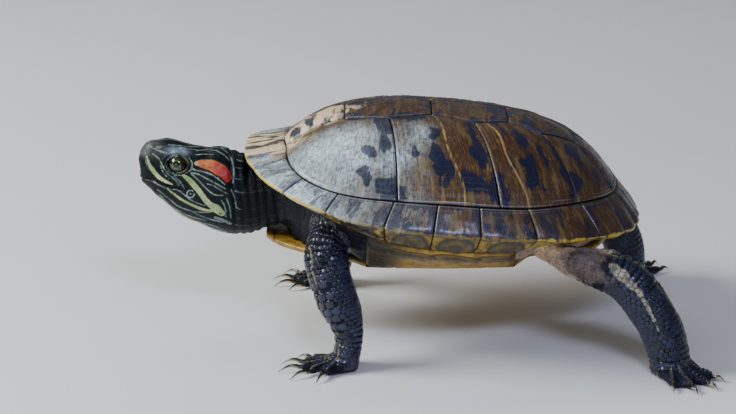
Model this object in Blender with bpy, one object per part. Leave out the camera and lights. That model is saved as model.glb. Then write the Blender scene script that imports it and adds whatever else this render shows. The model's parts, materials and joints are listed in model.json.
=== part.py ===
"""Red-eared slider turtle, standing on all four feet with its neck stretched out.

Frame: metres, +Z up, the head points to -X and the animal's left side is -Y.
z = 0 is the floor under the soles; the origin is below the middle of the body.
Lengths below are written in millimetres and turned into metres by MM.
"""

import math

import bmesh
import bpy
from mathutils import Vector

MM = 0.001

# ---------------------------------------------------------------- driving sizes
SHELL_HALF_LENGTH = 100.0      # straight carapace length is 200
SHELL_HALF_WIDTH = 76.5
SHELL_SQUARENESS = 2.38        # exponent of the rim's superellipse
SHELL_CENTRE_X = -4.0          # centre that the scute rings shrink towards
RIM_PITCH = math.radians(9.8)  # the rim rises towards the head
RIM_HEIGHT = 77.0              # rim above the floor at mid length
KEEL_HEIGHT = 37.8             # keel above the rim line at mid length
KEEL_RISE = 0.08               # the keel's highest part lies behind the middle
PLASTRON_Z = 46.0              # underside of the plastron above the floor
PLASTRON_THICK = 3.5
PLATE_SHRINK = 0.965           # inner face of a scute, as a scale about the core
CORE_SHRINK = 0.952            # trunk under the scutes
GAP = 0.3                      # clearance between neighbouring pieces
SHIFT_X = 8.5                 # moves the animal so that the origin is mid-box
SHIFT_Y = 1.3

# polar angle round the shell (0 at the nuchal, 180 over the tail) : value
SEAM_RHO = [(0, .805), (10, .80), (20, .83), (36, .885), (51, .905), (71, .875),
            (90, .88), (106, .875), (124, .865), (145, .845), (158, .86), (180, .865)]
SEAM_RISE = [(0, 5.5), (20, 5.6), (36, 6.5), (51, 8.0), (71, 10.5), (90, 12),
             (106, 12), (124, 11.5), (145, 12.5), (158, 13.5), (180, 13.5)]
DOME_POWER = [(0, 3.1), (30, 3.0), (60, 2.7), (90, 2.6), (135, 2.7), (160, 3.1), (180, 3.3)]
UNDER_RHO = [(0, .84), (35, .86), (60, .885), (75, .90), (118, .90), (135, .87), (180, .85)]
UNDER_DROP = [(0, 3.4), (35, 4.0), (55, 7.0), (72, 10.0), (118, 10.0), (135, 5.5), (180, 4.0)]
# marginal seams, as polar angles of their ends on the rim
MARGINAL_SEAMS = [3.5, 19.3, 35.6, 51.3, 71.4, 88.9, 105.7, 124.1, 145.1, 157.3, 166, 173.4, 180]
COSTAL_SEAM_ENDS = [8.4, 72.6, 113.8, 144.5, 165.0]    # on the costal-marginal seam
# corners of the vertebral scutes on the left side: (x, half width)
VERTEBRAL_CORNERS = [(-79, 11), (-54, 13), (-32.5, 21), (-12, 14), (8.5, 19.5),
                     (26, 13.5), (43, 17.5), (61, 9.5)]

PLASTRON_HALF = [(-88, 7), (-86, 14), (-80, 21), (-68, 29), (-52, 36), (-44, 41), (-38, 48.5),
                 (0, 50), (34, 48.5), (39, 38), (43, 31.5), (52, 30), (66, 29), (75, 23.5), (81, 13), (83, 5)]

# ---------------------------------------------------------------- helpers


def table(rows, a):
    """Value at angle a from (angle, value) rows, smooth, even about 0 and 180."""
    a = abs((a + 180.0) % 360.0 - 180.0)
    ks = [-rows[1][0]] + [r[0] for r in rows] + [360 - rows[-2][0]]
    vs = [rows[1][1]] + [r[1] for r in rows] + [rows[-2][1]]
    i = 1
    while i < len(ks) - 3 and a > ks[i + 1]:
        i += 1
    span = ks[i + 1] - ks[i]
    t = (a - ks[i]) / span
    m0 = (vs[i + 1] - vs[i - 1]) / (ks[i + 1] - ks[i - 1]) * span
    m1 = (vs[i + 2] - vs[i]) / (ks[i + 2] - ks[i]) * span
    return ((2 * t**3 - 3 * t * t + 1) * vs[i] + (t**3 - 2 * t * t + t) * m0
            + (3 * t * t - 2 * t**3) * vs[i + 1] + (t**3 - t * t) * m1)


def straight(rows, x):
    """Linear interpolation in (x, value) rows."""
    if x <= rows[0][0]:
        return rows[0][1]
    for (x0, v0), (x1, v1) in zip(rows, rows[1:]):
        if x <= x1:
            return v0 + (v1 - v0) * (x - x0) / (x1 - x0)
    return rows[-1][1]


def rim(a):
    """Radius and point of the rim edge at polar angle a, in the shell's own frame."""
    c, s = -math.cos(math.radians(a)), -math.sin(math.radians(a))
    low, high = 10.0, 150.0
    for _ in range(36):
        r = (low + high) / 2
        inside = (abs((SHELL_CENTRE_X + c * r) / SHELL_HALF_LENGTH) ** SHELL_SQUARENESS
                  + abs(s * r / SHELL_HALF_WIDTH) ** SHELL_SQUARENESS)
        low, high = (r, high) if inside < 1 else (low, r)
    x = SHELL_CENTRE_X + c * r
    q = x / SHELL_HALF_LENGTH
    return r, x, s * r, 1.0 - 5.3 * (1 - q * q) + 7.3 * q * (1 - q * q)


def shell_point(a, rho):
    """Outer surface of the carapace at polar angle a and share rho of the rim radius."""
    _, x, y, z = rim(a)
    seam = table(SEAM_RHO, a)
    top = z + table(SEAM_RISE, a)
    px, py = SHELL_CENTRE_X + (x - SHELL_CENTRE_X) * rho, y * rho
    if rho >= seam:
        t = (rho - seam) / (1 - seam)
        return px, py, top + (z - top) * (0.75 * t + 0.25 * t * t)
    t = rho / seam
    return px, py, top + (KEEL_HEIGHT + KEEL_RISE * px - top) * (1 - t ** table(DOME_POWER, a))


def polar_of(x, y):
    a = math.degrees(math.atan2(-y, -(x - SHELL_CENTRE_X)))
    return a, math.hypot(x - SHELL_CENTRE_X, y) / rim(a)[0]


def shrink(p, share, core_z=-10.0):
    return (SHELL_CENTRE_X + (p[0] - SHELL_CENTRE_X) * share, p[1] * share,
            core_z + (p[2] - core_z) * share)


def place(p):
    """Shell frame to the standing animal's frame."""
    c, s = math.cos(RIM_PITCH), math.sin(RIM_PITCH)
    return (c * p[0] + s * p[2], p[1], -s * p[0] + c * p[2] + RIM_HEIGHT)


def material(name, colour, roughness=0.5, coat=0.0):
    mat = bpy.data.materials.new(name)
    mat.use_nodes = True
    node = mat.node_tree.nodes["Principled BSDF"]
    node.inputs["Base Color"].default_value = (*colour, 1)
    node.inputs["Roughness"].default_value = roughness
    node.inputs["Metallic"].default_value = 0.0
    node.inputs["Coat Weight"].default_value = coat
    return mat


def finish(bm, name, mat, where, smooth=True):
    bmesh.ops.remove_doubles(bm, verts=bm.verts, dist=2e-6)
    bmesh.ops.triangulate(bm, faces=bm.faces)
    bmesh.ops.recalc_face_normals(bm, faces=bm.faces)
    mesh = bpy.data.meshes.new(name)
    bm.to_mesh(mesh)
    bm.free()
    obj = bpy.data.objects.new(name, mesh)
    where.objects.link(obj)
    if where is cutters:
        obj.hide_render = True
        obj.display_type = "WIRE"
    else:
        obj.data.materials.append(mat)
    obj.parent = root
    if smooth:
        mesh.shade_smooth()
        mesh.set_sharp_from_angle(angle=math.radians(35))
    return obj


def skin_rings(bm, rings, cap=True):
    """Faces between rings of points (mm) of one count, with fans at both ends."""
    made = [[bm.verts.new(Vector(p) * MM) for p in ring] for ring in rings]
    n = len(made[0])
    for one, two in zip(made, made[1:]):
        for k in range(n):
            bm.faces.new((one[k], one[(k + 1) % n], two[(k + 1) % n], two[k]))
    if cap:
        for ring in (made[0], made[-1]):
            mid = bm.verts.new(sum((v.co for v in ring), Vector()) / n)
            for k in range(n):
                bm.faces.new((ring[k], ring[(k + 1) % n], mid))
    return made


def lofted(name, rings, mat, where):
    bm = bmesh.new()
    skin_rings(bm, rings)
    return finish(bm, name, mat, where)


def smooth_path(stations, steps):
    """Catmull-Rom through stations, each a tuple of numbers, steps to a span."""
    out = []
    ext = [stations[0]] + list(stations) + [stations[-1]]
    for i in range(1, len(ext) - 2):
        for k in range(steps):
            t = k / steps
            out.append(tuple(
                0.5 * (2 * b + (c - a) * t + (2 * a - 5 * b + 4 * c - d) * t * t
                       + (3 * b - a - 3 * c + d) * t**3)
                for a, b, c, d in zip(*ext[i - 1:i + 3])))
    out.append(tuple(stations[-1]))
    return out


def tube_rings(stations, sides, up=(0, 0, 1), power=2.0):
    """Rings across a path. Station: x, y, z, half width (level), half height (upright)."""
    rings = []
    pts = [Vector(s[:3]) for s in stations]
    for i, s in enumerate(stations):
        along = (pts[min(i + 1, len(pts) - 1)] - pts[max(i - 1, 0)]).normalized()
        level = Vector(up).cross(along)
        level = level.normalized() if level.length > 1e-3 else Vector((0, 1, 0))
        upright = along.cross(level).normalized()
        ring = []
        for k in range(sides):
            a = 2 * math.pi * k / sides
            ca, sa = math.cos(a), math.sin(a)
            ca = math.copysign(abs(ca) ** (2 / power), ca)
            sa = math.copysign(abs(sa) ** (2 / power), sa)
            ring.append(tuple(pts[i] + level * (s[3] * ca) + upright * (s[4] * sa)))
        rings.append(ring)
    return rings


def keep_side(bm, point, normal):
    """Cuts a closed mesh with a plane, keeps what lies ahead of it, closes the cut."""
    made = bmesh.ops.bisect_plane(
        bm, geom=bm.verts[:] + bm.edges[:] + bm.faces[:], dist=1e-7,
        plane_co=Vector(point) * MM, plane_no=Vector(normal).normalized(),
        clear_inner=True)
    cut = [e for e in made["geom_cut"] if isinstance(e, bmesh.types.BMEdge)]
    if cut:
        bmesh.ops.edgeloop_fill(bm, edges=[e for e in cut if e.is_valid and len(e.link_faces) == 1])


def parted(name, rings, planes, mat, where):
    """Lofted body kept ahead of each (point, normal) plane."""
    bm = bmesh.new()
    skin_rings(bm, rings)
    bmesh.ops.recalc_face_normals(bm, faces=bm.faces)
    for point, normal in planes:
        keep_side(bm, point, normal)
    return finish(bm, name, mat, where)


def boolean(obj, cutter, kind="DIFFERENCE"):
    mod = obj.modifiers.new(cutter.name, "BOOLEAN")
    mod.operation = kind
    mod.object = cutter
    mod.solver = "EXACT"


def mirrored(p, side):
    return (p[0], p[1] * side, *p[2:])


# ---------------------------------------------------------------- scene
for old in list(bpy.data.objects):
    bpy.data.objects.remove(old, do_unlink=True)
scene = bpy.context.scene
turtle = bpy.data.collections.new("red_eared_slider")
cutters = bpy.data.collections.new("cutters")
scene.collection.children.link(turtle)
scene.collection.children.link(cutters)
root = bpy.data.objects.new("root", None)
root.location = (SHIFT_X * MM, SHIFT_Y * MM, 0)
scene.collection.objects.link(root)

HORN = material("carapace_scutes", (0.07, 0.05, 0.03), 0.28, 0.6)
HORN_RIM = material("marginal_scutes", (0.09, 0.075, 0.05), 0.3, 0.6)
HORN_PALE = material("plastron_scutes", (0.55, 0.40, 0.10), 0.35, 0.4)
SKIN = material("skin", (0.02, 0.028, 0.03), 0.45)
EYE = material("eye", (0.03, 0.03, 0.02), 0.05, 1.0)
CLAW = material("claw", (0.12, 0.10, 0.06), 0.35)

# ---------------------------------------------------------------- carapace


def plate(name, edge_a, edge_b, rows, mat):
    """Scute between two edges, lists of (x, y) of one length, closed inwards by the shrink."""
    grid = []
    for (x0, y0), (x1, y1) in zip(edge_a, edge_b):
        grid.append([])
        for k in range(rows + 1):
            t = k / rows
            a, rho = polar_of(x0 + (x1 - x0) * t, y0 + (y1 - y0) * t)
            grid[-1].append(shell_point(a, rho))
    bm = bmesh.new()
    outer = [[bm.verts.new(Vector(place(p)) * MM) for p in row] for row in grid]
    inner = [[bm.verts.new(Vector(place(shrink(p, PLATE_SHRINK))) * MM) for p in row] for row in grid]
    n, m = len(grid), rows + 1
    for g in (outer, inner):
        for i in range(n - 1):
            for k in range(m - 1):
                bm.faces.new((g[i][k], g[i][k + 1], g[i + 1][k + 1], g[i + 1][k]))
    loop = [(i, 0) for i in range(n)] + [(n - 1, k) for k in range(1, m)]
    loop += [(i, m - 1) for i in range(n - 2, -1, -1)] + [(0, k) for k in range(m - 2, 0, -1)]
    for (i, k), (j, q) in zip(loop, loop[1:] + loop[:1]):
        bm.faces.new((outer[i][k], outer[j][q], inner[j][q], inner[i][k]))
    return finish(bm, name, mat, turtle)


def along(p, q, n):
    return [(p[0] + (q[0] - p[0]) * k / n, p[1] + (q[1] - p[1]) * k / n) for k in range(n)]


def seam_xy(a, inset=0.0):
    r, x, y, _ = rim(a)
    rho = table(SEAM_RHO, a) - inset / r
    return SHELL_CENTRE_X + (x - SHELL_CENTRE_X) * rho, y * rho


def inset_polygon(points, gap):
    """Moves each edge of a counter-clockwise outline inwards by gap (mm)."""
    out = []
    n = len(points)
    for i in range(n):
        a, b, c = (Vector(points[j % n]) for j in (i - 1, i, i + 1))
        d0, d1 = (b - a).normalized(), (c - b).normalized()
        n0, n1 = Vector((-d0.y, d0.x)), Vector((-d1.y, d1.x))
        m = n0 + n1
        m = m / max(m.dot(n0), 0.35) if m.length > 1e-6 else n0
        out.append(tuple(b + m * gap))
    return out


def scute(name, top, bottom, rows=5):
    """Scute from its upper and lower edges, both listed front to back, inset by half a gap."""
    outline = list(bottom) + list(reversed(top))
    area = sum(p[0] * q[1] - q[0] * p[1] for p, q in zip(outline, outline[1:] + outline[:1]))
    outline = inset_polygon(outline, GAP * 0.6 if area > 0 else -GAP * 0.6)
    low = outline[:len(bottom)]
    high = list(reversed(outline[len(bottom):]))
    return plate(name, high, low, rows, HORN)


V = VERTEBRAL_CORNERS
for side, word in ((1, "left"), (-1, "right")):
    def corner(i):
        return V[i][0], -side * V[i][1]

    def arc(a0, a1, n):
        return [seam_xy(side * (a0 + (a1 - a0) * k / n)) for k in range(n + 1)]

    ends = COSTAL_SEAM_ENDS
    last = seam_xy(side * ends[4])
    tops = ([corner(0), corner(1), corner(2)], [corner(2), corner(3), corner(4)],
            [corner(4), corner(5), corner(6)], [corner(6), corner(7), last])
    for i, top in enumerate(tops):
        n = 8 if i == 0 else 6
        a0, a1 = ends[i], ends[i + 1]
        if i == 0:
            a0 = a0 + 1.5
        if i == 3:
            a1 = a1 - 1.5
        edge = along(top[0], top[1], n // 2) + along(top[1], top[2], n - n // 2) + [top[2]]
        scute(f"costal_{word}_{i + 1}", edge, arc(a0, a1, n))


def mirrored_edge(points):
    return [(x, -y) for x, y in points]


rear = seam_xy(COSTAL_SEAM_ENDS[4])
front_arc = [seam_xy(COSTAL_SEAM_ENDS[0] * (1 - 2 * k / 6)) for k in range(7)]
sides = ([(V[0][0], -V[0][1]), (V[1][0], -V[1][1])],
         [(V[1][0], -V[1][1]), (V[2][0], -V[2][1]), (V[3][0], -V[3][1])],
         [(V[3][0], -V[3][1]), (V[4][0], -V[4][1]), (V[5][0], -V[5][1])],
         [(V[5][0], -V[5][1]), (V[6][0], -V[6][1]), (V[7][0], -V[7][1])])
for i, edge in enumerate(sides):
    fine = []
    for p, q in zip(edge, edge[1:]):
        fine += along(p, q, 3)
    fine.append(edge[-1])
    scute(f"vertebral_{i + 1}", fine, mirrored_edge(fine), 6)
fine = along((V[7][0], -V[7][1]), rear, 4)
back = [seam_xy(COSTAL_SEAM_ENDS[4] + (180 - COSTAL_SEAM_ENDS[4]) * k / 3) for k in range(4)]
fine += back[:-1] + [(back[-1][0], -0.9)]
scute("vertebral_5", fine, mirrored_edge(fine), 6)


def marginal_section(a):
    """Closed outline of the marginal ring at polar angle a, from the seam round the edge."""
    r, x, y, z = rim(a)
    seam = table(SEAM_RHO, a)
    under, drop = table(UNDER_RHO, a), table(UNDER_DROP, a)

    def at(rho, height):
        return SHELL_CENTRE_X + (x - SHELL_CENTRE_X) * rho, y * rho, z + height
    gap = GAP * 0.6 / r
    top = shell_point(a, seam + gap)
    mid = shell_point(a, (seam + 1) / 2)
    lip = shell_point(a, 0.985)
    back = shrink(top, PLATE_SHRINK)
    return [top, mid, lip, at(1.0, -0.2), at(0.992, -1.6), at((1 + under) / 2, -1.6 - drop * 0.55),
            at(under, -drop), at(under - 0.03, -drop + 2.6), back]


def marginal_arc(name, a0, a1):
    trim = 0.11 if a1 > a0 else -0.11
    n = max(2, round(abs(a1 - a0) / 7))
    rings = []
    for k in range(n + 1):
        a = a0 + trim + (a1 - a0 - 2 * trim) * k / n
        rings.append([place(p) for p in marginal_section(a)])
    bm = bmesh.new()
    skin_rings(bm, rings)
    return finish(bm, name, HORN_RIM, turtle)


S = MARGINAL_SEAMS
marginal_arc("nuchal", -S[0], S[0])
for side, word in ((1, "left"), (-1, "right")):
    marginal_arc(f"marginals_front_{word}", side * S[0], side * S[3])
    marginal_arc(f"marginals_bridge_{word}", side * S[3], side * S[7])
    marginal_arc(f"marginals_rear_{word}", side * S[7], side * S[12])

# ---------------------------------------------------------------- plastron and bridges


def plastron_low(x):
    return (PLASTRON_Z + 4.5 * max(0.0, (-x - 48) / 40) ** 2 + 1.0 * max(0.0, (x - 58) / 27) ** 2)


rings = []
for k in range(19):
    x = -88 + (83 + 88) * k / 18
    w = straight(PLASTRON_HALF, x)
    z = plastron_low(x)
    t = PLASTRON_THICK
    rings.append([(x, -w, z + 1.6), (x, -w + 2.2, z + 0.35), (x, -w * 0.5, z), (x, 0, z), (x, w * 0.5, z),
                  (x, w - 2.2, z + 0.35), (x, w, z + 1.6), (x, w - 0.8, z + t), (x, 0, z + t),
                  (x, -w + 0.8, z + t)])
lofted("plastron", rings, HORN_PALE, turtle)

for side, word in ((1, "left"), (-1, "right")):
    rings = []
    for k in range(9):
        x = -38 + 72 * k / 8
        # the foot of the marginals at this x
        best = min((abs(place(marginal_section(a)[6])[0] - x), a) for a in range(40, 146))[1]
        foot = place(marginal_section(best)[6])
        inner = place(marginal_section(best)[7])
        edge = straight(PLASTRON_HALF, x)
        fy, fz = abs(foot[1]), foot[2]
        iy = abs(inner[1])
        ring = [(x, fy - 0.2, fz - 0.5), (x, fy - 0.5 - (fy - edge) * 0.22, fz - (fz - PLASTRON_Z) * 0.45),
                (x, edge + (fy - edge) * 0.38, PLASTRON_Z + 3.2), (x, edge + 0.45, PLASTRON_Z + 1.6),
                (x, edge - 0.3, PLASTRON_Z + 3.9), (x, edge + (fy - edge) * 0.2, PLASTRON_Z + 6.2),
                (x, iy - 1.4, fz - 1.5), (x, iy - 0.9, fz - 0.5)]
        rings.append([mirrored(p, -side) for p in ring])
    lofted(f"bridge_{word}", rings, HORN_PALE, turtle)

# ---------------------------------------------------------------- trunk


TRUNK_RHO = 0.73


def trunk_rings(grow=0.0):
    share = CORE_SHRINK + grow / 70.0
    rings = []
    n = 24
    for rho in (0.08, 0.25, 0.45, 0.6, TRUNK_RHO):
        ring = []
        for k in range(n):
            a = 360 * k / n
            ring.append(place(shrink(shell_point(a, rho + (grow / 70 if rho == TRUNK_RHO else 0)), share)))
        rings.append(ring)
    wall = rings[-1]
    rings.append([(x * 1.0, y, max(z * 0.5 + 27, plastron_low(x) + PLASTRON_THICK + 4 - grow)) for x, y, z in wall])
    for share_low in (0.93, 0.5, 0.06):
        rings.append([(x * share_low, y * share_low * min(1.0, 0.86 if share_low > .9 else 1),
                       plastron_low(x * share_low) + PLASTRON_THICK + 0.5 - grow) for x, y, z in wall])
    return rings


lofted("trunk", trunk_rings(), SKIN, turtle)
trunk_cutter = lofted("trunk_cutter", trunk_rings(0.45), SKIN, cutters)

# ---------------------------------------------------------------- head and neck

# x, y, z of the centre, half width, half height
HEAD = [(-149.3, 0, 83.6, 3.6, 5.2), (-147.6, 0, 84.4, 5.4, 8.6), (-144.5, 0, 84.4, 7.2, 11.4),
        (-140, 0, 83.8, 9.2, 13.4), (-134, 0, 81.6, 11.6, 15.2), (-128, 0, 78.8, 13.4, 17.0),
        (-121, 0, 75.6, 15.2, 18.8), (-113, 0, 73.6, 16.6, 20.0), (-105, 0, 70.6, 16.6, 20.4),
        (-98, 0, 69.0, 16.2, 19.0), (-88, 0, 71.0, 16.8, 15.0), (-76, 0, 71.0, 17.5, 13.0),
        (-66, 0, 70.0, 17.5, 12.0)]
rings = tube_rings(HEAD, 16, up=(0, 0, 1), power=2.25)
NECK_CUT = (-103.0, 0, 70.0)
NECK_NORMAL = (-1, 0, 0.25)
JAW_CUT = (-151.0, 0, 78.6)
JAW_NORMAL = (0.47, 0, 0.883)        # upright of the jaw line, which falls towards the throat


def offset(point, normal, by):
    return tuple(Vector(point) + Vector(normal).normalized() * by)


BACK_NORMAL = tuple(-c for c in NECK_NORMAL)
UNDER_NORMAL = tuple(-c for c in JAW_NORMAL)
head = parted("head", rings, [(offset(NECK_CUT, NECK_NORMAL, GAP / 2), NECK_NORMAL),
                              (offset(JAW_CUT, JAW_NORMAL, GAP / 2), JAW_NORMAL)], SKIN, turtle)
jaw = parted("lower_jaw", rings, [(offset(NECK_CUT, NECK_NORMAL, GAP / 2), NECK_NORMAL),
                                  (offset(JAW_CUT, UNDER_NORMAL, GAP / 2), UNDER_NORMAL)], SKIN, turtle)
neck = parted("neck", rings, [(offset(NECK_CUT, BACK_NORMAL, GAP / 2), BACK_NORMAL)], SKIN, turtle)
boolean(neck, trunk_cutter)

EYE_AT = (-132.3, 8.9, 88.0)
EYE_RADIUS = 4.6
for side, word in ((1, "left"), (-1, "right")):
    for radius, where, name in ((EYE_RADIUS, turtle, f"eye_{word}"),
                                (EYE_RADIUS + GAP, cutters, f"socket_{word}")):
        bm = bmesh.new()
        bmesh.ops.create_uvsphere(bm, u_segments=14, v_segments=8, radius=radius * MM)
        bmesh.ops.translate(bm, verts=bm.verts, vec=Vector((EYE_AT[0], -side * EYE_AT[1], EYE_AT[2])) * MM)
        obj = finish(bm, name, EYE, where)
        if where is cutters:
            boolean(head, obj)

# ---------------------------------------------------------------- tail
TAIL = [(64, 0, 58.5, 9, 3.8), (76, 1, 55.8, 7.5, 3.7), (83, 2.8, 55.0, 6.2, 3.4), (88.5, 6, 51.5, 5.2, 3.8), (91.5, 10.5, 46.5, 4.2, 4.0),
        (91.5, 15.5, 41.5, 3.0, 3.0), (88, 20.5, 37, 1.3, 1.3)]
tail = lofted("tail", tube_rings(TAIL, 10), SKIN, turtle)
boolean(tail, trunk_cutter)

# ---------------------------------------------------------------- legs


def digit(name, base, tip, r0, r1, where):
    base, tip = Vector(base), Vector(tip)
    stations = []
    for t in (0.0, 0.6, 1.0):
        p = base.lerp(tip, t)
        r = r0 + (r1 - r0) * t
        stations.append((p.x, p.y, p.z, r, r * 0.95))
    end = stations[-1]
    lead = (tip - base).normalized() * r1 * 0.5
    stations.append((end[0] + lead.x, end[1] + lead.y, end[2] + lead.z, r1 * 0.6, r1 * 0.55))
    return lofted(name, tube_rings(stations, 8), SKIN, where)


def claw(name, base, heading, length, radius, lift=1.2):
    """Curved claw lying forward, its tip just clear of the floor."""
    base, heading = Vector(base), Vector(heading).normalized()
    stations = []
    for t in (0.0, 0.35, 0.7, 1.0):
        p = base + heading * length * t
        z = base.z + lift * math.sin(math.pi * min(1, t * 1.1)) - (base.z - 0.75) * t ** 1.8
        r = radius * (1 - t ** 1.5) + 0.3
        stations.append((p.x, p.y, z, r * 0.8, r))
    return lofted(name, tube_rings(stations, 6), CLAW, turtle)


def clip_floor(obj):
    bm = bmesh.new()
    bm.from_mesh(obj.data)
    keep_side(bm, (0, 0, 0), (0, 0, 1))
    bmesh.ops.triangulate(bm, faces=bm.faces)
    bmesh.ops.recalc_face_normals(bm, faces=bm.faces)
    bm.to_mesh(obj.data)
    bm.free()


def leg(word, side, stations, cuts, names, up):
    """A leg lofted whole and parted by thin cuts at its joints."""
    path = [mirrored(s, side) for s in stations]
    rings = tube_rings(path, 12, up=mirrored(up, side))
    made = []
    for i, name in enumerate(names):
        planes = []
        if i > 0:
            p, n = mirrored(cuts[i - 1][0], side), mirrored(cuts[i - 1][1], side)
            planes.append((offset(p, n, GAP / 2), n))
        if i < len(cuts):
            p, n = mirrored(cuts[i][0], side), tuple(-c for c in mirrored(cuts[i][1], side))
            planes.append((offset(p, n, GAP / 2), n))
        made.append(parted(f"{name}_{word}", rings, planes, SKIN, turtle))
    boolean(made[0], trunk_cutter)
    return made


FORE = [(-46, -33, 66, 10, 8.5), (-53, -43, 63.5, 11, 9.5), (-57.5, -51, 58, 10.5, 10.2), (-57, -55.5, 50, 10.2, 10.2),
        (-54.5, -58, 42, 9.6, 10.0), (-51.5, -59.5, 33, 9.8, 9.6), (-48.3, -60.5, 25, 8.6, 8.4),
        (-46.3, -61, 17.5, 7.2, 6.8), (-46.8, -61.4, 11, 8.0, 6.4), (-48.0, -62, 4.5, 8.6, 6.4), (-48.6, -62.2, -2.0, 8.4, 6.0)]
HIND = [(42, -34, 57.5, 9, 5.0), (50.5, -44.5, 55.6, 11.5, 4.9), (60, -54.5, 52.2, 12.0, 6.4), (72, -60.5, 50.8, 12.0, 9.2),
        (83, -63, 48.0, 10.5, 10.0), (90.5, -64.5, 42.5, 9.8, 10.4), (97.5, -65.5, 33.5, 9.8, 10.4),
        (103.5, -66.5, 24, 10.2, 10.4), (107, -67.5, 15, 10.4, 10.2), (108.8, -68.5, 7, 10.6, 9.8), (109.2, -69, -2.0, 10.6, 9.6)]

for side, word in ((1, "left"), (-1, "right")):
    fore_shift = (0, 0) if side == 1 else (-7, 2)
    hind_shift = (0, 0) if side == 1 else (-9, 3)

    def slid(stations, shift, start):
        """The far legs stand a little further on: the shift grows down the leg."""
        out = []
        for s in stations:
            t = max(0.0, min(1.0, (start - s[2]) / start))
            out.append((s[0] + shift[0] * t, s[1] + shift[1] * t, *s[2:]))
        return out

    fore = slid(FORE, fore_shift, 60)
    upper, lower, hand = leg(word, side, fore, [((-57.2, -54, 52.5), (0.1, -0.2, -1)),
                                               ((fore[7][0], fore[7][1], 14.5), (-0.25, -0.1, -1))],
                             ["upper_arm", "forearm", "hand"], (-1, -0.25, 0.2))
    wx, wy = fore[9][0], fore[9][1]
    palm = [(wx + 4, wy + 1, 3.4, 5.5, 3.6), (wx - 2, wy - 0.8, 3.2, 8.8, 4.6), (wx - 8, wy - 2.6, 2.6, 10.2, 3.7),
            (wx - 12, wy - 3.9, 2.1, 9.2, 3.0)]
    part = lofted(f"palm_{word}", [list(r) for r in tube_rings([mirrored(s, side) for s in palm], 12)], SKIN, cutters)
    boolean(hand, part, "UNION")
    for i, (turn, reach, length) in enumerate(((42, 15.5, 8.5), (22, 18.5, 10.5), (2, 19.5, 11.0), (-20, 18.5, 10.5), (-46, 15.0, 8.5))):
        a = math.radians(turn + (-14))
        direction = Vector((-math.cos(a), math.sin(a), 0))
        base = Vector((wx - 2, wy - 0.8, 2.6))
        root_at = base + direction * 6
        tip = base + direction * reach
        tip.z = 2.0
        d = digit(f"digit_{word}_{i + 1}", mirrored(tuple(root_at), side), mirrored(tuple(tip), side), 2.5, 2.0, cutters)
        boolean(hand, d, "UNION")
        start = tip + direction * 1.55
        claw(f"foreclaw_{word}_{i + 1}", mirrored((start.x, start.y, 2.3), side),
             mirrored(tuple(direction), side), length, 1.15)
    cut = bmesh.new()
    bmesh.ops.create_cube(cut, size=0.6)
    bmesh.ops.translate(cut, verts=cut.verts, vec=Vector((0, 0, -0.3)))
    floor_cut = finish(cut, f"floor_{word}", SKIN, cutters, smooth=False)
    boolean(hand, floor_cut)

    hind = slid(HIND, hind_shift, 55)
    thigh, shank, foot = leg(word, side, hind, [((86.5, -63.7, 46.2), (0.7, -0.1, -0.8)),
                                               ((hind[8][0], hind[8][1], 13.0), (0.15, -0.1, -1))],
                             ["thigh", "shank", "foot"], (1, -0.2, 0.3))
    wx, wy = hind[9][0], hind[9][1]
    heading = math.radians(62)        # the toes point out and a little back
    out = Vector((math.cos(heading), -math.sin(heading), 0))
    across = Vector((out.y, -out.x, 0))
    palm = []
    for t, w, h, z in ((-5, 6.5, 4.2, 4.0), (2, 9.8, 5.6, 4.4), (10, 11.4, 4.0, 3.0), (17, 12.4, 2.9, 2.1), (22, 11.6, 1.9, 1.4)):
        palm.append((wx + out.x * t, wy + out.y * t, z, w, h))
    part = lofted(f"sole_{word}", [list(r) for r in tube_rings([mirrored(s, side) for s in palm], 12)], SKIN, cutters)
    boolean(foot, part, "UNION")
    for i, (turn, reach, length) in enumerate(((30, 23, 5.5), (10, 26, 6.0), (-10, 26, 6.0), (-30, 23, 5.5))):
        a = heading + math.radians(turn)
        direction = Vector((math.cos(a), -math.sin(a), 0))
        base = Vector((wx, wy, 2.4))
        root_at = base + direction * 9
        tip = base + direction * reach
        tip.z = 1.9
        d = digit(f"toe_{word}_{i + 1}", mirrored(tuple(root_at), side), mirrored(tuple(tip), side), 2.7, 1.9, cutters)
        boolean(foot, d, "UNION")
        start = tip + direction * 1.5
        claw(f"hindclaw_{word}_{i + 1}", mirrored((start.x, start.y, 2.1), side),
             mirrored(tuple(direction), side), length, 1.05, 0.9)
    boolean(foot, floor_cut)
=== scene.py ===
"""Looks of the standing red-eared slider: one skin, shell plates with relief, eyes, claws, light.

Lengths are in millimetres in the animal's own frame (head to -X, left side -Y, floor at z = 0);
put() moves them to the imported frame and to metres. Everything is computed from named sizes.
"""

import json
import math

import bmesh
import bpy
import numpy as np
from mathutils import Matrix, Vector
from mathutils.bvhtree import BVHTree

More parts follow.
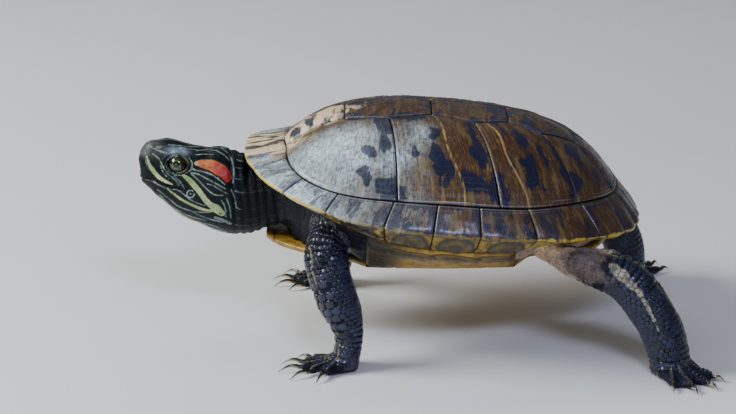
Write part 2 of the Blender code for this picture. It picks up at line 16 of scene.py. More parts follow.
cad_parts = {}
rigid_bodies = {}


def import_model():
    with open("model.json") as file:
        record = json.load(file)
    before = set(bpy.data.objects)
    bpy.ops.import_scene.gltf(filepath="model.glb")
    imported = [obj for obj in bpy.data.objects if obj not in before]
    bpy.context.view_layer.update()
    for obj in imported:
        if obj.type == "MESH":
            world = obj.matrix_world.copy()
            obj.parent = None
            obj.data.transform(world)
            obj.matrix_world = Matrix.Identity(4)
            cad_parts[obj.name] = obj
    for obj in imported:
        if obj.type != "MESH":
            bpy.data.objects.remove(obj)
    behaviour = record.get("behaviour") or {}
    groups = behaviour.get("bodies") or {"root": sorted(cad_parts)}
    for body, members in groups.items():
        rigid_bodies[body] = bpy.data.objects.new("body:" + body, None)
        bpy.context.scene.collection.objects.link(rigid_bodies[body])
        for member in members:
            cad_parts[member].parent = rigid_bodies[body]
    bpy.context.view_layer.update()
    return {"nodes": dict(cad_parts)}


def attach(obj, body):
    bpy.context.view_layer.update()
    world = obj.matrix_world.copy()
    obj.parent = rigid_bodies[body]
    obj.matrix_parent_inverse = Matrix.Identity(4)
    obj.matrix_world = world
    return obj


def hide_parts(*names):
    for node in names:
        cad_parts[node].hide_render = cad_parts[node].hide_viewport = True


for old in list(bpy.data.objects):
    bpy.data.objects.remove(old, do_unlink=True)

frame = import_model()
NODES = frame["nodes"]
SHIFT = np.array([8.5, 1.3, 0.0])

# ------------------------------------------------------------------ sizes repeated from the design
HALF_LENGTH, HALF_WIDTH, SQUARE, CENTRE_X = 100.0, 76.5, 2.38, -4.0
PITCH, RIM_HEIGHT = math.radians(9.8), 77.0
KEEL_HEIGHT, KEEL_RISE = 37.8, 0.08
PLASTRON_Z, PLASTRON_THICK, PLATE_SHRINK = 46.0, 3.5, 0.965

SEAM_RHO = [(0, .805), (10, .80), (20, .83), (36, .885), (51, .905), (71, .875),
            (90, .88), (106, .875), (124, .865), (145, .845), (158, .86), (180, .865)]
SEAM_RISE = [(0, 5.5), (20, 5.6), (36, 6.5), (51, 8.0), (71, 10.5), (90, 12),
             (106, 12), (124, 11.5), (145, 12.5), (158, 13.5), (180, 13.5)]
DOME_POWER = [(0, 3.1), (30, 3.0), (60, 2.7), (90, 2.6), (135, 2.7), (160, 3.1), (180, 3.3)]
UNDER_RHO = [(0, .84), (35, .86), (60, .885), (75, .90), (118, .90), (135, .87), (180, .85)]
UNDER_DROP = [(0, 3.4), (35, 4.0), (55, 7.0), (72, 10.0), (118, 10.0), (135, 5.5), (180, 4.0)]
MARGINAL_SEAMS = [3.5, 19.3, 35.6, 51.3, 71.4, 88.9, 105.7, 124.1, 145.1, 157.3, 166, 173.4, 180]
COSTAL_SEAM_ENDS = [8.4, 72.6, 113.8, 144.5, 165.0]
VERTEBRAL_CORNERS = [(-79, 11), (-54, 13), (-32.5, 21), (-12, 14), (8.5, 19.5),
                     (26, 13.5), (43, 17.5), (61, 9.5)]
PLASTRON_HALF = [(-88, 7), (-86, 14), (-80, 21), (-68, 29), (-52, 36), (-44, 41), (-38, 48.5),
                 (0, 50), (34, 48.5), (39, 38), (43, 31.5), (52, 30), (66, 29), (75, 23.5), (81, 13), (83, 5)]


def table_one(rows, a):
    a = abs((a + 180.0) % 360.0 - 180.0)
    ks = [-rows[1][0]] + [r[0] for r in rows] + [360 - rows[-2][0]]
    vs = [rows[1][1]] + [r[1] for r in rows] + [rows[-2][1]]
    i = 1
    while i < len(ks) - 3 and a > ks[i + 1]:
        i += 1
    span = ks[i + 1] - ks[i]
    t = (a - ks[i]) / span
    m0 = (vs[i + 1] - vs[i - 1]) / (ks[i + 1] - ks[i - 1]) * span
    m1 = (vs[i + 2] - vs[i]) / (ks[i + 2] - ks[i]) * span
    return ((2 * t**3 - 3 * t * t + 1) * vs[i] + (t**3 - 2 * t * t + t) * m0
            + (3 * t * t - 2 * t**3) * vs[i + 1] + (t**3 - t * t) * m1)


TURN = np.arange(0, 180.01, 0.25)
LOOK = {}


def table(rows, a):
    """Value at polar angles a (degrees, array) from smooth (angle, value) rows."""
    key = id(rows)
    if key not in LOOK:
        LOOK[key] = np.array([table_one(rows, t) for t in TURN])
    a = np.abs((np.asarray(a, float) + 180.0) % 360.0 - 180.0)
    return np.interp(a, TURN, LOOK[key])


def rim(a):
    a = np.asarray(a, float)
    c, s = -np.cos(np.radians(a)), -np.sin(np.radians(a))
    low, high = np.full(a.shape, 10.0), np.full(a.shape, 150.0)
    for _ in range(34):
        r = (low + high) / 2
        inside = (np.abs((CENTRE_X + c * r) / HALF_LENGTH) ** SQUARE
                  + np.abs(s * r / HALF_WIDTH) ** SQUARE) < 1
        low, high = np.where(inside, r, low), np.where(inside, high, r)
    x = CENTRE_X + c * r
    q = x / HALF_LENGTH
    return r, x, s * r, 1.0 - 5.3 * (1 - q * q) + 7.3 * q * (1 - q * q)


def shell_point(a, rho):
    """Outer surface of the carapace in the shell's own frame."""
    a, rho = np.broadcast_arrays(np.asarray(a, float), np.asarray(rho, float))
    _, x, y, z = rim(a)
    seam = table(SEAM_RHO, a)
    top = z + table(SEAM_RISE, a)
    px, py = CENTRE_X + (x - CENTRE_X) * rho, y * rho
    t1 = (rho - seam) / (1 - seam)
    low = top + (z - top) * (0.75 * t1 + 0.25 * t1 * t1)
    t2 = np.clip(rho / seam, 0, None)
    high = top + (KEEL_HEIGHT + KEEL_RISE * px - top) * (1 - t2 ** table(DOME_POWER, a))
    fuller = 3.0 * np.exp(-((px + 68) / 15) ** 2 - (py / 27) ** 2) * (1 - np.clip(rho, 0, 1) ** 7)
    return np.stack([px, py, np.where(rho >= seam, low, high) + fuller], -1)


def polar_of(x, y):
    a = np.degrees(np.arctan2(-y, -(x - CENTRE_X)))
    return a, np.hypot(x - CENTRE_X, y) / rim(a)[0]


def shrink(p, share, core_z=-10.0):
    p = np.asarray(p, float)
    core = np.array([CENTRE_X, 0, core_z])
    return core + (p - core) * share


def place(p):
    p = np.asarray(p, float)
    c, s = math.cos(PITCH), math.sin(PITCH)
    return np.stack([c * p[..., 0] + s * p[..., 2], p[..., 1],
                     -s * p[..., 0] + c * p[..., 2] + RIM_HEIGHT], -1)


def seam_xy(a):
    _, x, y, _ = rim(a)
    rho = table(SEAM_RHO, a)
    return np.stack([CENTRE_X + (x - CENTRE_X) * rho, y * rho], -1)


def plastron_low(x):
    x = np.asarray(x, float)
    return (PLASTRON_Z + 2.6 * np.maximum(0.0, (-x - 48) / 40) ** 2
            + 1.0 * np.maximum(0.0, (x - 58) / 27) ** 2)


# ------------------------------------------------------------------ small tools
LATTICE = np.random.default_rng(11).random((48, 48, 48))


def vnoise(p, size):
    """Smooth value noise in 0..1 with cells of the given size in mm."""
    q = np.asarray(p, float) / size
    i = np.floor(q).astype(int)
    f = q - i
    f = f * f * (3 - 2 * f)
    out = 0.0
    for dx in (0, 1):
        for dy in (0, 1):
            for dz in (0, 1):
                w = ((f[..., 0] if dx else 1 - f[..., 0]) * (f[..., 1] if dy else 1 - f[..., 1])
                     * (f[..., 2] if dz else 1 - f[..., 2]))
                out = out + w * LATTICE[(i[..., 0] + dx) % 48, (i[..., 1] + dy) % 48, (i[..., 2] + dz) % 48]
    return out


def ease(x, lo, hi):
    t = np.clip((np.asarray(x, float) - lo) / (hi - lo), 0, 1)
    return t * t * (3 - 2 * t)


def bell(x, width):
    return np.exp(-(np.asarray(x, float) / width) ** 2)


def catmull(stations, steps):
    """Smooth path through stations (rows of numbers), steps points to a span."""
    s = np.array(stations, float)
    e = np.vstack([s[:1], s, s[-1:]])
    out = []
    for i in range(1, len(e) - 2):
        for k in range(steps):
            t = k / steps
            a, b, c, d = e[i - 1], e[i], e[i + 1], e[i + 2]
            out.append(0.5 * (2 * b + (c - a) * t + (2 * a - 5 * b + 4 * c - d) * t * t
                              + (3 * b - a - 3 * c + d) * t**3))
    out.append(s[-1])
    return np.array(out)


def resample(points, n):
    p = np.array(points, float)
    step = np.r_[0, np.cumsum(np.linalg.norm(np.diff(p, axis=0), axis=1))]
    at = np.linspace(0, step[-1], n)
    return np.stack([np.interp(at, step, p[:, k]) for k in range(p.shape[1])], -1)


def near(p, line, radii=None):
    """Distance in mm from each point to a polyline, less the radius there, and the share along it."""
    line = np.array(line, float)
    seg = np.diff(line, axis=0)
    size = np.linalg.norm(seg, axis=1)
    start = np.r_[0, np.cumsum(size)]
    best = np.full(len(p), 1e9)
    share = np.zeros(len(p))
    for k in range(len(seg)):
        t = np.clip(((p - line[k]) @ seg[k]) / max(size[k] ** 2, 1e-9), 0, 1)
        d = np.linalg.norm(p - (line[k] + t[:, None] * seg[k]), axis=1)
        if radii is not None:
            d = d - (radii[k] + (radii[k + 1] - radii[k]) * t)
        hit = d < best
        best[hit] = d[hit]
        share[hit] = ((start[k] + t * size[k]) / start[-1])[hit]
    return best, share


def put(p):
    return (np.asarray(p, float) + SHIFT) * 0.001


def mesh_of(name, points, faces, attributes=None, smooth=True, sharp=None):
    mesh = bpy.data.meshes.new(name)
    mesh.from_pydata(put(points).tolist(), [], faces)
    mesh.validate()
    for key, values in (attributes or {}).items():
        values = np.asarray(values, np.float32)
        kind = "FLOAT_VECTOR" if values.ndim == 2 else "FLOAT"
        a = mesh.attributes.new(key, kind, "POINT")
        a.data.foreach_set("vector" if values.ndim == 2 else "value", values.ravel())
    if smooth:
        mesh.shade_smooth()
        if sharp:
            mesh.set_sharp_from_angle(angle=math.radians(sharp))
    mesh.update()
    return mesh


def piece(name, points, faces, material, attributes=None, nodes=(), sharp=None, outward=False):
    mesh = mesh_of(name, points, faces, attributes, sharp=sharp)
    if outward:
        bm = bmesh.new()
        bm.from_mesh(mesh)
        bmesh.ops.recalc_face_normals(bm, faces=bm.faces)
        bm.to_mesh(mesh)
        bm.free()
    mesh.materials.append(material)
    obj = bpy.data.objects.new(name, mesh)
    bpy.context.scene.collection.objects.link(obj)
    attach(obj, "root")
    if nodes:
        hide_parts(*nodes)
    return obj


def tube(rings, cap=True):
    """Points and faces of a closed loft through rings of one count."""
    rings = np.array(rings, float)
    m, n = rings.shape[:2]
    pts = rings.reshape(-1, 3)
    k = np.arange(n)
    faces = []
    for i in range(m - 1):
        a, b = i * n + k, i * n + (k + 1) % n
        faces += np.stack([a, b, b + n, a + n], -1).tolist()
    if cap:
        ends = np.array([rings[0].mean(0), rings[-1].mean(0)])
        pts = np.vstack([pts, ends])
        c0, c1 = m * n, m * n + 1
        faces += [[int((q + 1) % n), int(q), c0] for q in k]
        last = (m - 1) * n
        faces += [[int(last + q), int(last + (q + 1) % n), c1] for q in k]
    return pts, faces


def rings_of(stations, sides, up=(0, 0, 1), power=2.0):
    """Rings across a path. Station: x, y, z, half width (level), half height (upright)."""
    s = np.array(stations, float)
    p = s[:, :3]
    out = []
    up = np.array(up, float)
    a = 2 * math.pi * np.arange(sides) / sides
    ca = np.sign(np.cos(a)) * np.abs(np.cos(a)) ** (2 / power)
    sa = np.sign(np.sin(a)) * np.abs(np.sin(a)) ** (2 / power)
    for i in range(len(p)):
        along = p[min(i + 1, len(p) - 1)] - p[max(i - 1, 0)]
        along = along / np.linalg.norm(along)
        level = np.cross(up, along)
        level = level / np.linalg.norm(level)
        upright = np.cross(along, level)
        out.append(p[i] + ca[:, None] * level * s[i, 3] + sa[:, None] * upright * s[i, 4])
    return np.array(out)


# ------------------------------------------------------------------ shader building
class Look:
    """A Principled material built from nodes."""

    def __init__(self, name, roughness=0.5, **fixed):
        self.m = bpy.data.materials.new(name)
        self.m.use_nodes = True
        self.t = self.m.node_tree
        self.p = self.t.nodes["Principled BSDF"]
        self.p.inputs["Roughness"].default_value = roughness
        for key, value in fixed.items():
            self.p.inputs[key.replace("_", " ")].default_value = value

    def put(self, socket, value):
        if isinstance(value, bpy.types.NodeSocket):
            self.t.links.new(value, socket)
        elif isinstance(value, tuple) and len(value) == 3 and socket.type == "RGBA":
            socket.default_value = (*value, 1)
        else:
            socket.default_value = value

    def math(self, op, a, b=0.0, c=None, clamp=False):
        n = self.t.nodes.new("ShaderNodeMath")
        n.operation = op
        n.use_clamp = clamp
        self.put(n.inputs[0], a)
        self.put(n.inputs[1], b)
        if c is not None:
            self.put(n.inputs[2], c)
        return n.outputs[0]

    def attr(self, name, kind="Fac"):
        n = self.t.nodes.new("ShaderNodeAttribute")
        n.attribute_name = name
        return n.outputs[kind]

    def where(self):
        return self.t.nodes.new("ShaderNodeTexCoord").outputs["Object"]

    def scaled(self, vector, scale):
        n = self.t.nodes.new("ShaderNodeMapping")
        self.put(n.inputs["Vector"], vector)
        n.inputs["Scale"].default_value = scale
        return n.outputs[0]

    def noise(self, scale, detail=3.0, rough=0.55, vector=None, warp=0.0):
        n = self.t.nodes.new("ShaderNodeTexNoise")
        self.put(n.inputs["Vector"], self.where() if vector is None else vector)
        n.inputs["Scale"].default_value = scale
        n.inputs["Detail"].default_value = detail
        n.inputs["Roughness"].default_value = rough
        n.inputs["Distortion"].default_value = warp
        return n.outputs[0]

    def cells(self, scale, feature="F1", vector=None, out="Distance", jitter=1.0):
        n = self.t.nodes.new("ShaderNodeTexVoronoi")
        n.feature = feature
        self.put(n.inputs["Vector"], self.where() if vector is None else vector)
        n.inputs["Scale"].default_value = scale
        n.inputs["Randomness"].default_value = jitter
        return n.outputs[out]

    def step(self, x, lo, hi, a=0.0, b=1.0):
        n = self.t.nodes.new("ShaderNodeMapRange")
        n.interpolation_type = "SMOOTHSTEP"
        self.put(n.inputs[0], x)
        for i, v in enumerate((lo, hi, a, b)):
            n.inputs[i + 1].default_value = v
        return n.outputs[0]

    def mix(self, f, a, b, kind="MIX"):
        n = self.t.nodes.new("ShaderNodeMix")
        n.data_type = "RGBA"
        n.blend_type = kind
        self.put(n.inputs[0], f)
        self.put(n.inputs[6], a)
        self.put(n.inputs[7], b)
        return n.outputs[2]

    def mul(self, *xs):
        out = xs[0]
        for x in xs[1:]:
            out = self.math("MULTIPLY", out, x)
        return out

    def add(self, *xs):
        out = xs[0]
        for x in xs[1:]:
            out = self.math("ADD", out, x)
        return out

    def inv(self, x):
        return self.math("SUBTRACT", 1.0, x)

    def bump(self, height, strength, distance, normal=None):
        n = self.t.nodes.new("ShaderNodeBump")
        n.inputs["Strength"].default_value = strength
        n.inputs["Distance"].default_value = distance
        self.put(n.inputs["Height"], height)
        if normal is not None:
            self.put(n.inputs["Normal"], normal)
        return n.outputs[0]

    def done(self, colour=None, normal=None, rough=None):
        if colour is not None:
            self.put(self.p.inputs["Base Color"], colour)
        if normal is not None:
            self.put(self.p.inputs["Normal"], normal)
        if rough is not None:
            self.put(self.p.inputs["Roughness"], rough)
        return self.m


# ------------------------------------------------------------------ horn of the carapace
UMBER, TAN, NAVY = (0.062, 0.031, 0.0150), (0.200, 0.120, 0.042), (0.0032, 0.0062, 0.0300)
# the silver on the next line is the colour of a painted reflection on the front scutes
REDBROWN, REFLECTION_SILVER = (0.046, 0.0150, 0.0060), (0.62, 0.73, 0.75)


def carapace_look(name, marginal=False):
    m = Look(name, 0.36, Coat_Weight=0.30, Coat_Roughness=0.19, Specular_IOR_Level=0.32)
    suv = m.attr("suv", "Vector")          # x: mm front to back, y: mm down the scute, z: its number
    edge, ring, painted_reflection, crown = m.attr("edge"), m.attr("ring"), m.attr("painted_reflection"), m.attr("crown")
    streak = m.noise(1.0, 4, 0.62, m.scaled(suv, (0.36, 0.050, 3.7)))
    fine = m.noise(1.0, 3, 0.6, m.scaled(suv, (1.5, 0.22, 5.1)))
    wide = m.noise(1.0, 2, 0.5, m.scaled(suv, (0.13, 0.06, 7.3)))
    grit = m.noise(620.0, 4, 0.65)
    spots = m.noise(1.0, 3, 0.62, m.scaled(suv, (0.24, 0.17, 2.9)))
    # ground: umber to red brown towards the crown and the rear
    ground = m.mix(m.mul(crown, m.step(wide, 0.30, 0.62)), UMBER, REDBROWN)
    # tan and olive streaks that run down the scute
    tan = m.mul(m.step(streak, 0.50, 0.63), m.inv(m.mul(crown, 0.62)))
    colour = m.mix(m.mul(tan, 0.80), ground, m.mix(m.step(wide, 0.4, 0.6), TAN, (0.115, 0.093, 0.030)))
    colour = m.mix(m.mul(m.step(fine, 0.56, 0.66), 0.42), colour, (0.255, 0.165, 0.060))
    # navy blotches, broader along the seams
    near_seam = m.step(edge, 7.5, 1.0)
    blotch = m.noise(1.0, 3, 0.55, m.scaled(suv, (0.150, 0.058, 2.9)), 0.5)
    dark = m.step(m.add(blotch, m.mul(near_seam, 0.085), m.mul(streak, -0.12)), 0.475, 0.520)
    own = m.add(m.attr("blot"), m.mul(m.add(spots, -0.5), 1.25), m.mul(m.add(grit, -0.5), 0.45), m.mul(m.add(streak, -0.5), -0.7))
    dark = m.math("MAXIMUM", m.mul(dark, m.attr("wild")), m.step(own, 0.44, 0.58))
    colour = m.mix(m.mul(dark, 0.95), colour, NAVY)
    # bright lines: one to a scute, ragged
    line = m.mul(m.step(m.attr("line"), 1.0, 0.0), m.step(m.noise(1.0, 3, 0.6, m.scaled(suv, (0.7, 0.12, 9.1))), 0.36, 0.56))
    colour = m.mix(m.mul(line, 0.85), colour, (0.40, 0.27, 0.085))
    # fine wear in the growth rings
    rings = m.math("SINE", m.add(m.mul(ring, 84.0), m.mul(wide, 9.0)))
    colour = m.mix(m.mul(m.step(rings, 0.45, 1.0), 0.05 if marginal else 0.09, m.step(ring, 0.35, 0.75)), colour, (0.215, 0.170, 0.090))
    # painted reflection: pale silver sheen of the sky painted on the scutes towards the front
    mottle = m.step(m.add(m.mul(grit, 0.45), m.mul(spots, 0.55)), 0.30, 0.62)
    reflection_veil = m.mul(painted_reflection, m.math("ADD", 0.62, m.mul(mottle, 0.36)), clamp(m, m.inv(m.mul(dark, 0.80))))
    reflection_grain = m.step(m.add(m.mul(fine, 0.55), m.mul(grit, 0.45)), 0.36, 0.60)
    colour = m.mix(reflection_veil, colour, m.mix(reflection_grain, (0.180, 0.240, 0.262), REFLECTION_SILVER))
    nuchal_highlight = m.attr("nuchal_highlight")
    # painted highlight: cream glare on the nuchal end in streaks, with grey-blue between them
    highlight_streaks = m.noise(1.0, 2, 0.5, m.scaled(suv, (0.21, 0.055, 8.3)))
    colour = m.mix(m.mul(nuchal_highlight, m.step(highlight_streaks, 0.40, 0.50)), colour, m.mix(m.step(grit, 0.35, 0.65), (0.70, 0.48, 0.255), (0.92, 0.74, 0.49)))
    colour = m.mix(m.mul(nuchal_highlight, m.step(m.add(highlight_streaks, m.mul(spots, 0.35)), 0.585, 0.52), 0.50), colour, (0.085, 0.095, 0.105))
    # paired ridges beside the seams get a painted highlight along them, stronger where the silver reflection is
    # painted; then the dark seam itself
    ridge_highlight = m.mul(m.step(m.attr("ridge_highlight"), 0.35, 0.9), m.step(m.attr("painted_reflection"), 0.0, 0.5, 0.30, 0.62))
    colour = m.mix(ridge_highlight, colour, (0.30, 0.32, 0.33))
    seam = m.step(m.add(edge, m.mul(grit, -0.30)), 0.40, 0.02)
    colour = m.mix(m.mul(seam, 0.95), colour, (0.0045, 0.005, 0.008))
    if marginal:
        lip, under = m.attr("lip"), m.attr("under")     # mm from the edge; 1 below it
        ragged = m.noise(1.0, 3, 0.6, m.scaled(suv, (0.35, 0.35, 4.4)))
        rimline = m.mul(m.step(m.math("ABSOLUTE", m.add(lip, m.mul(ragged, 3.0), -1.9)), 1.15, 0.55),
                        m.attr("gold"), m.step(ragged, 0.36, 0.50))
        colour = m.mix(rimline, colour, (0.62, 0.43, 0.025))
        # below: yellow with a dark ringed blotch on each plate
        ochre = m.mix(m.step(m.noise(260.0, 4, 0.6), 0.35, 0.65), (0.32, 0.205, 0.014), (0.100, 0.060, 0.008))
        eye = m.add(m.attr("eye"), m.mul(m.noise(210.0, 3, 0.6), 2.6), -1.3)
        band = m.mul(m.step(eye, 8.6, 7.4), m.inv(m.mul(m.step(eye, 6.6, 5.8), 0.28)))
        inner = m.step(eye, 5.0, 2.4)
        belly = m.mix(m.math("MAXIMUM", m.mul(band, 0.93), m.mul(inner, 0.92)), ochre, (0.020, 0.015, 0.011))
        # painted shade: the undersides of the front marginals darkened where shade falls
        belly = m.mix(m.mul(m.attr("painted_shade"), m.step(m.add(ragged, m.mul(grit, 0.25)), 0.66, 0.56)), belly, (0.008, 0.008, 0.008))
        belly = m.mix(m.mul(seam, 0.9), belly, (0.02, 0.012, 0.008))
        colour = m.mix(under, colour, belly)
    gloss = m.step(m.add(m.mul(grit, 0.5), m.mul(spots, 0.5)), 0.32, 0.68, 0.20, 0.44)
    creases = m.noise(1.0, 4, 0.7, m.scaled(suv, (1.9, 0.35, 6.6)))
    pores = m.cells(900.0, "F1")
    height = m.add(m.mul(creases, 0.60), m.mul(grit, 0.34), m.mul(m.step(pores, 0.0, 0.35), 0.12),
                   m.mul(rings, 0.015 if marginal else 0.050))
    return m.done(colour, m.bump(height, 0.66, 0.00042), gloss)


def clamp(m, x):
    return m.math("MINIMUM", x, 1.0)


def plastron_look(name):
    m = Look(name, 0.40, Coat_Weight=0.20, Coat_Roughness=0.24, Specular_IOR_Level=0.35)
    grit = m.noise(240.0, 4, 0.6)
    soft = m.noise(70.0, 3, 0.55)
    ochre = m.mix(m.step(grit, 0.36, 0.66), (0.385, 0.235, 0.018), (0.180, 0.100, 0.012))
    ochre = m.mix(m.mul(m.step(soft, 0.48, 0.66), 0.35), ochre, (0.28, 0.115, 0.022))
    eye = m.add(m.attr("eye"), m.mul(m.noise(120.0, 4, 0.62), 0.90), -0.45)
    band = m.mul(m.step(eye, 1.02, 0.86), m.inv(m.mul(m.step(eye, 0.74, 0.64), 0.34)))
    inner = m.step(eye, 0.58, 0.34)
    colour = m.mix(m.math("MAXIMUM", m.mul(band, 0.92), m.mul(inner, 0.86)), ochre, (0.022, 0.015, 0.011))
    # painted shade: near-black and rougher where shade falls at the ends of the bridge
    painted_shade = m.mul(m.attr("painted_shade"), m.step(m.add(grit, m.mul(soft, 0.8), m.mul(m.attr("painted_shade"), -0.35)), 0.86, 0.66))
    colour = m.mix(m.mul(painted_shade, 0.95), colour, (0.007, 0.007, 0.006))
    rings = m.math("SINE", m.mul(m.attr("edge"), 3.3))
    colour = m.mix(m.mul(m.step(rings, 0.55, 1.0), 0.13), colour, (0.22, 0.12, 0.03))
    seam = m.step(m.add(m.attr("edge"), m.mul(grit, -0.4)), 0.62, 0.12)
    colour = m.mix(m.mul(seam, 0.85), colour, (0.045, 0.026, 0.012))
    height = m.add(m.mul(grit, 0.5), m.mul(rings, 0.15), m.mul(m.noise(900.0, 3, 0.6), 0.25))
    return m.done(colour, m.bump(height, 0.5, 0.0003), m.add(m.step(grit, 0.3, 0.7, 0.28, 0.48), m.mul(m.attr("painted_shade"), 0.35)))


SCUTE = carapace_look("horn_carapace")
RIM = carapace_look("horn_marginal", True)
BELLY = plastron_look("horn_plastron")

# ------------------------------------------------------------------ carapace scutes
# navy blotches of each costal: share along, share down, half sizes of both
BLOTS = [[(.91, .13, .062, .18), (.92, .43, .055, .13), (.82, .58, .035, .065), (.80, .80, .035, .065), (.96, .88, .07, .13),
          (.62, .03, .12, .04)],
         [(.03, .93, .05, .09), (.28, .04, .20, .06), (.42, .34, .06, .12), (.43, .66, .07, .15), (.53, .76, .06, .10),
          (.91, .26, .060, .25), (.88, .53, .09, .14), (.74, .84, .11, .11), (.94, .83, .07, .13), (.20, .55, .03, .08)],
         [(.50, .32, .075, .15), (.46, .74, .085, .19), (.06, .86, .06, .15), (.96, .30, .06, .32), (.96, .75, .06, .20),
          (.30, .15, .05, .10), (.72, .50, .045, .16), (.24, .62, .035, .08)],
         [(.28, .35, .09, .22), (.55, .62, .09, .20), (.86, .40, .08, .24), (.10, .80, .10, .13), (.60, .15, .10, .09)]]


def tints(p, left):
    """Where the shell gets a painted silver reflection at the front, painted cream highlights at the nuchal end, and
    red brown on the crown.
    """
    x, y, z = p[:, 0], p[:, 1], p[:, 2]
    wobble = (vnoise(p, 11) - 0.5) * 26 + (vnoise(p + 40, 4) - 0.5) * 9
    # painted reflection: pale silver on the front scutes, fading back and up
    painted_reflection = ease(-x + wobble, -8, 42) * ease(np.abs(y) + 0.55 * (z < 96) * 12 + wobble * 0.4, 16, 34)
    painted_reflection = painted_reflection * (0.62 + 0.38 * ease(vnoise(p, 8), 0.25, 0.6)) * (1 - 0.60 * ease(x, -66, -38) * ease(104 - z + wobble * 0.3, 0, 13))
    crown = ease(z + 0.10 * x + wobble * 0.5, 92, 112) * 0.85 + ease(x + wobble, 10, 70) * 0.75
    # painted highlight at the nuchal end and a narrower one farther back on the crown's front
    nuchal_highlight = ease(-x + wobble * 0.7, 62, 80) * ease(32 - np.abs(y) + wobble * 0.3, 0, 16)
    nuchal_highlight = np.maximum(nuchal_highlight, ease(-x + wobble * 0.6, 42, 56) * ease(17 - np.abs(y) + wobble * 0.25, 0, 8) * ease(z, 90, 95))
    return painted_reflection, np.clip(crown, 0, 1), nuchal_highlight * 0.9


def ring_share(q, outline, areola):
    """0 at the areola, 1 at the scute's edge, in the plane of its own axes."""
    d = outline - areola
    ang = np.arctan2(d[:, 1], d[:, 0])
    rad = np.hypot(d[:, 0], d[:, 1])
    order = np.argsort(ang)
    ang, rad = ang[order], rad[order]
    ang = np.r_[ang[-3:] - 2 * math.pi, ang, ang[:3] + 2 * math.pi]
    rad = np.r_[rad[-3:], rad, rad[:3]]
    v = q - areola
    a = np.arctan2(v[:, 1], v[:, 0])
    return np.hypot(v[:, 0], v[:, 1]) / np.interp(a, ang, rad), a


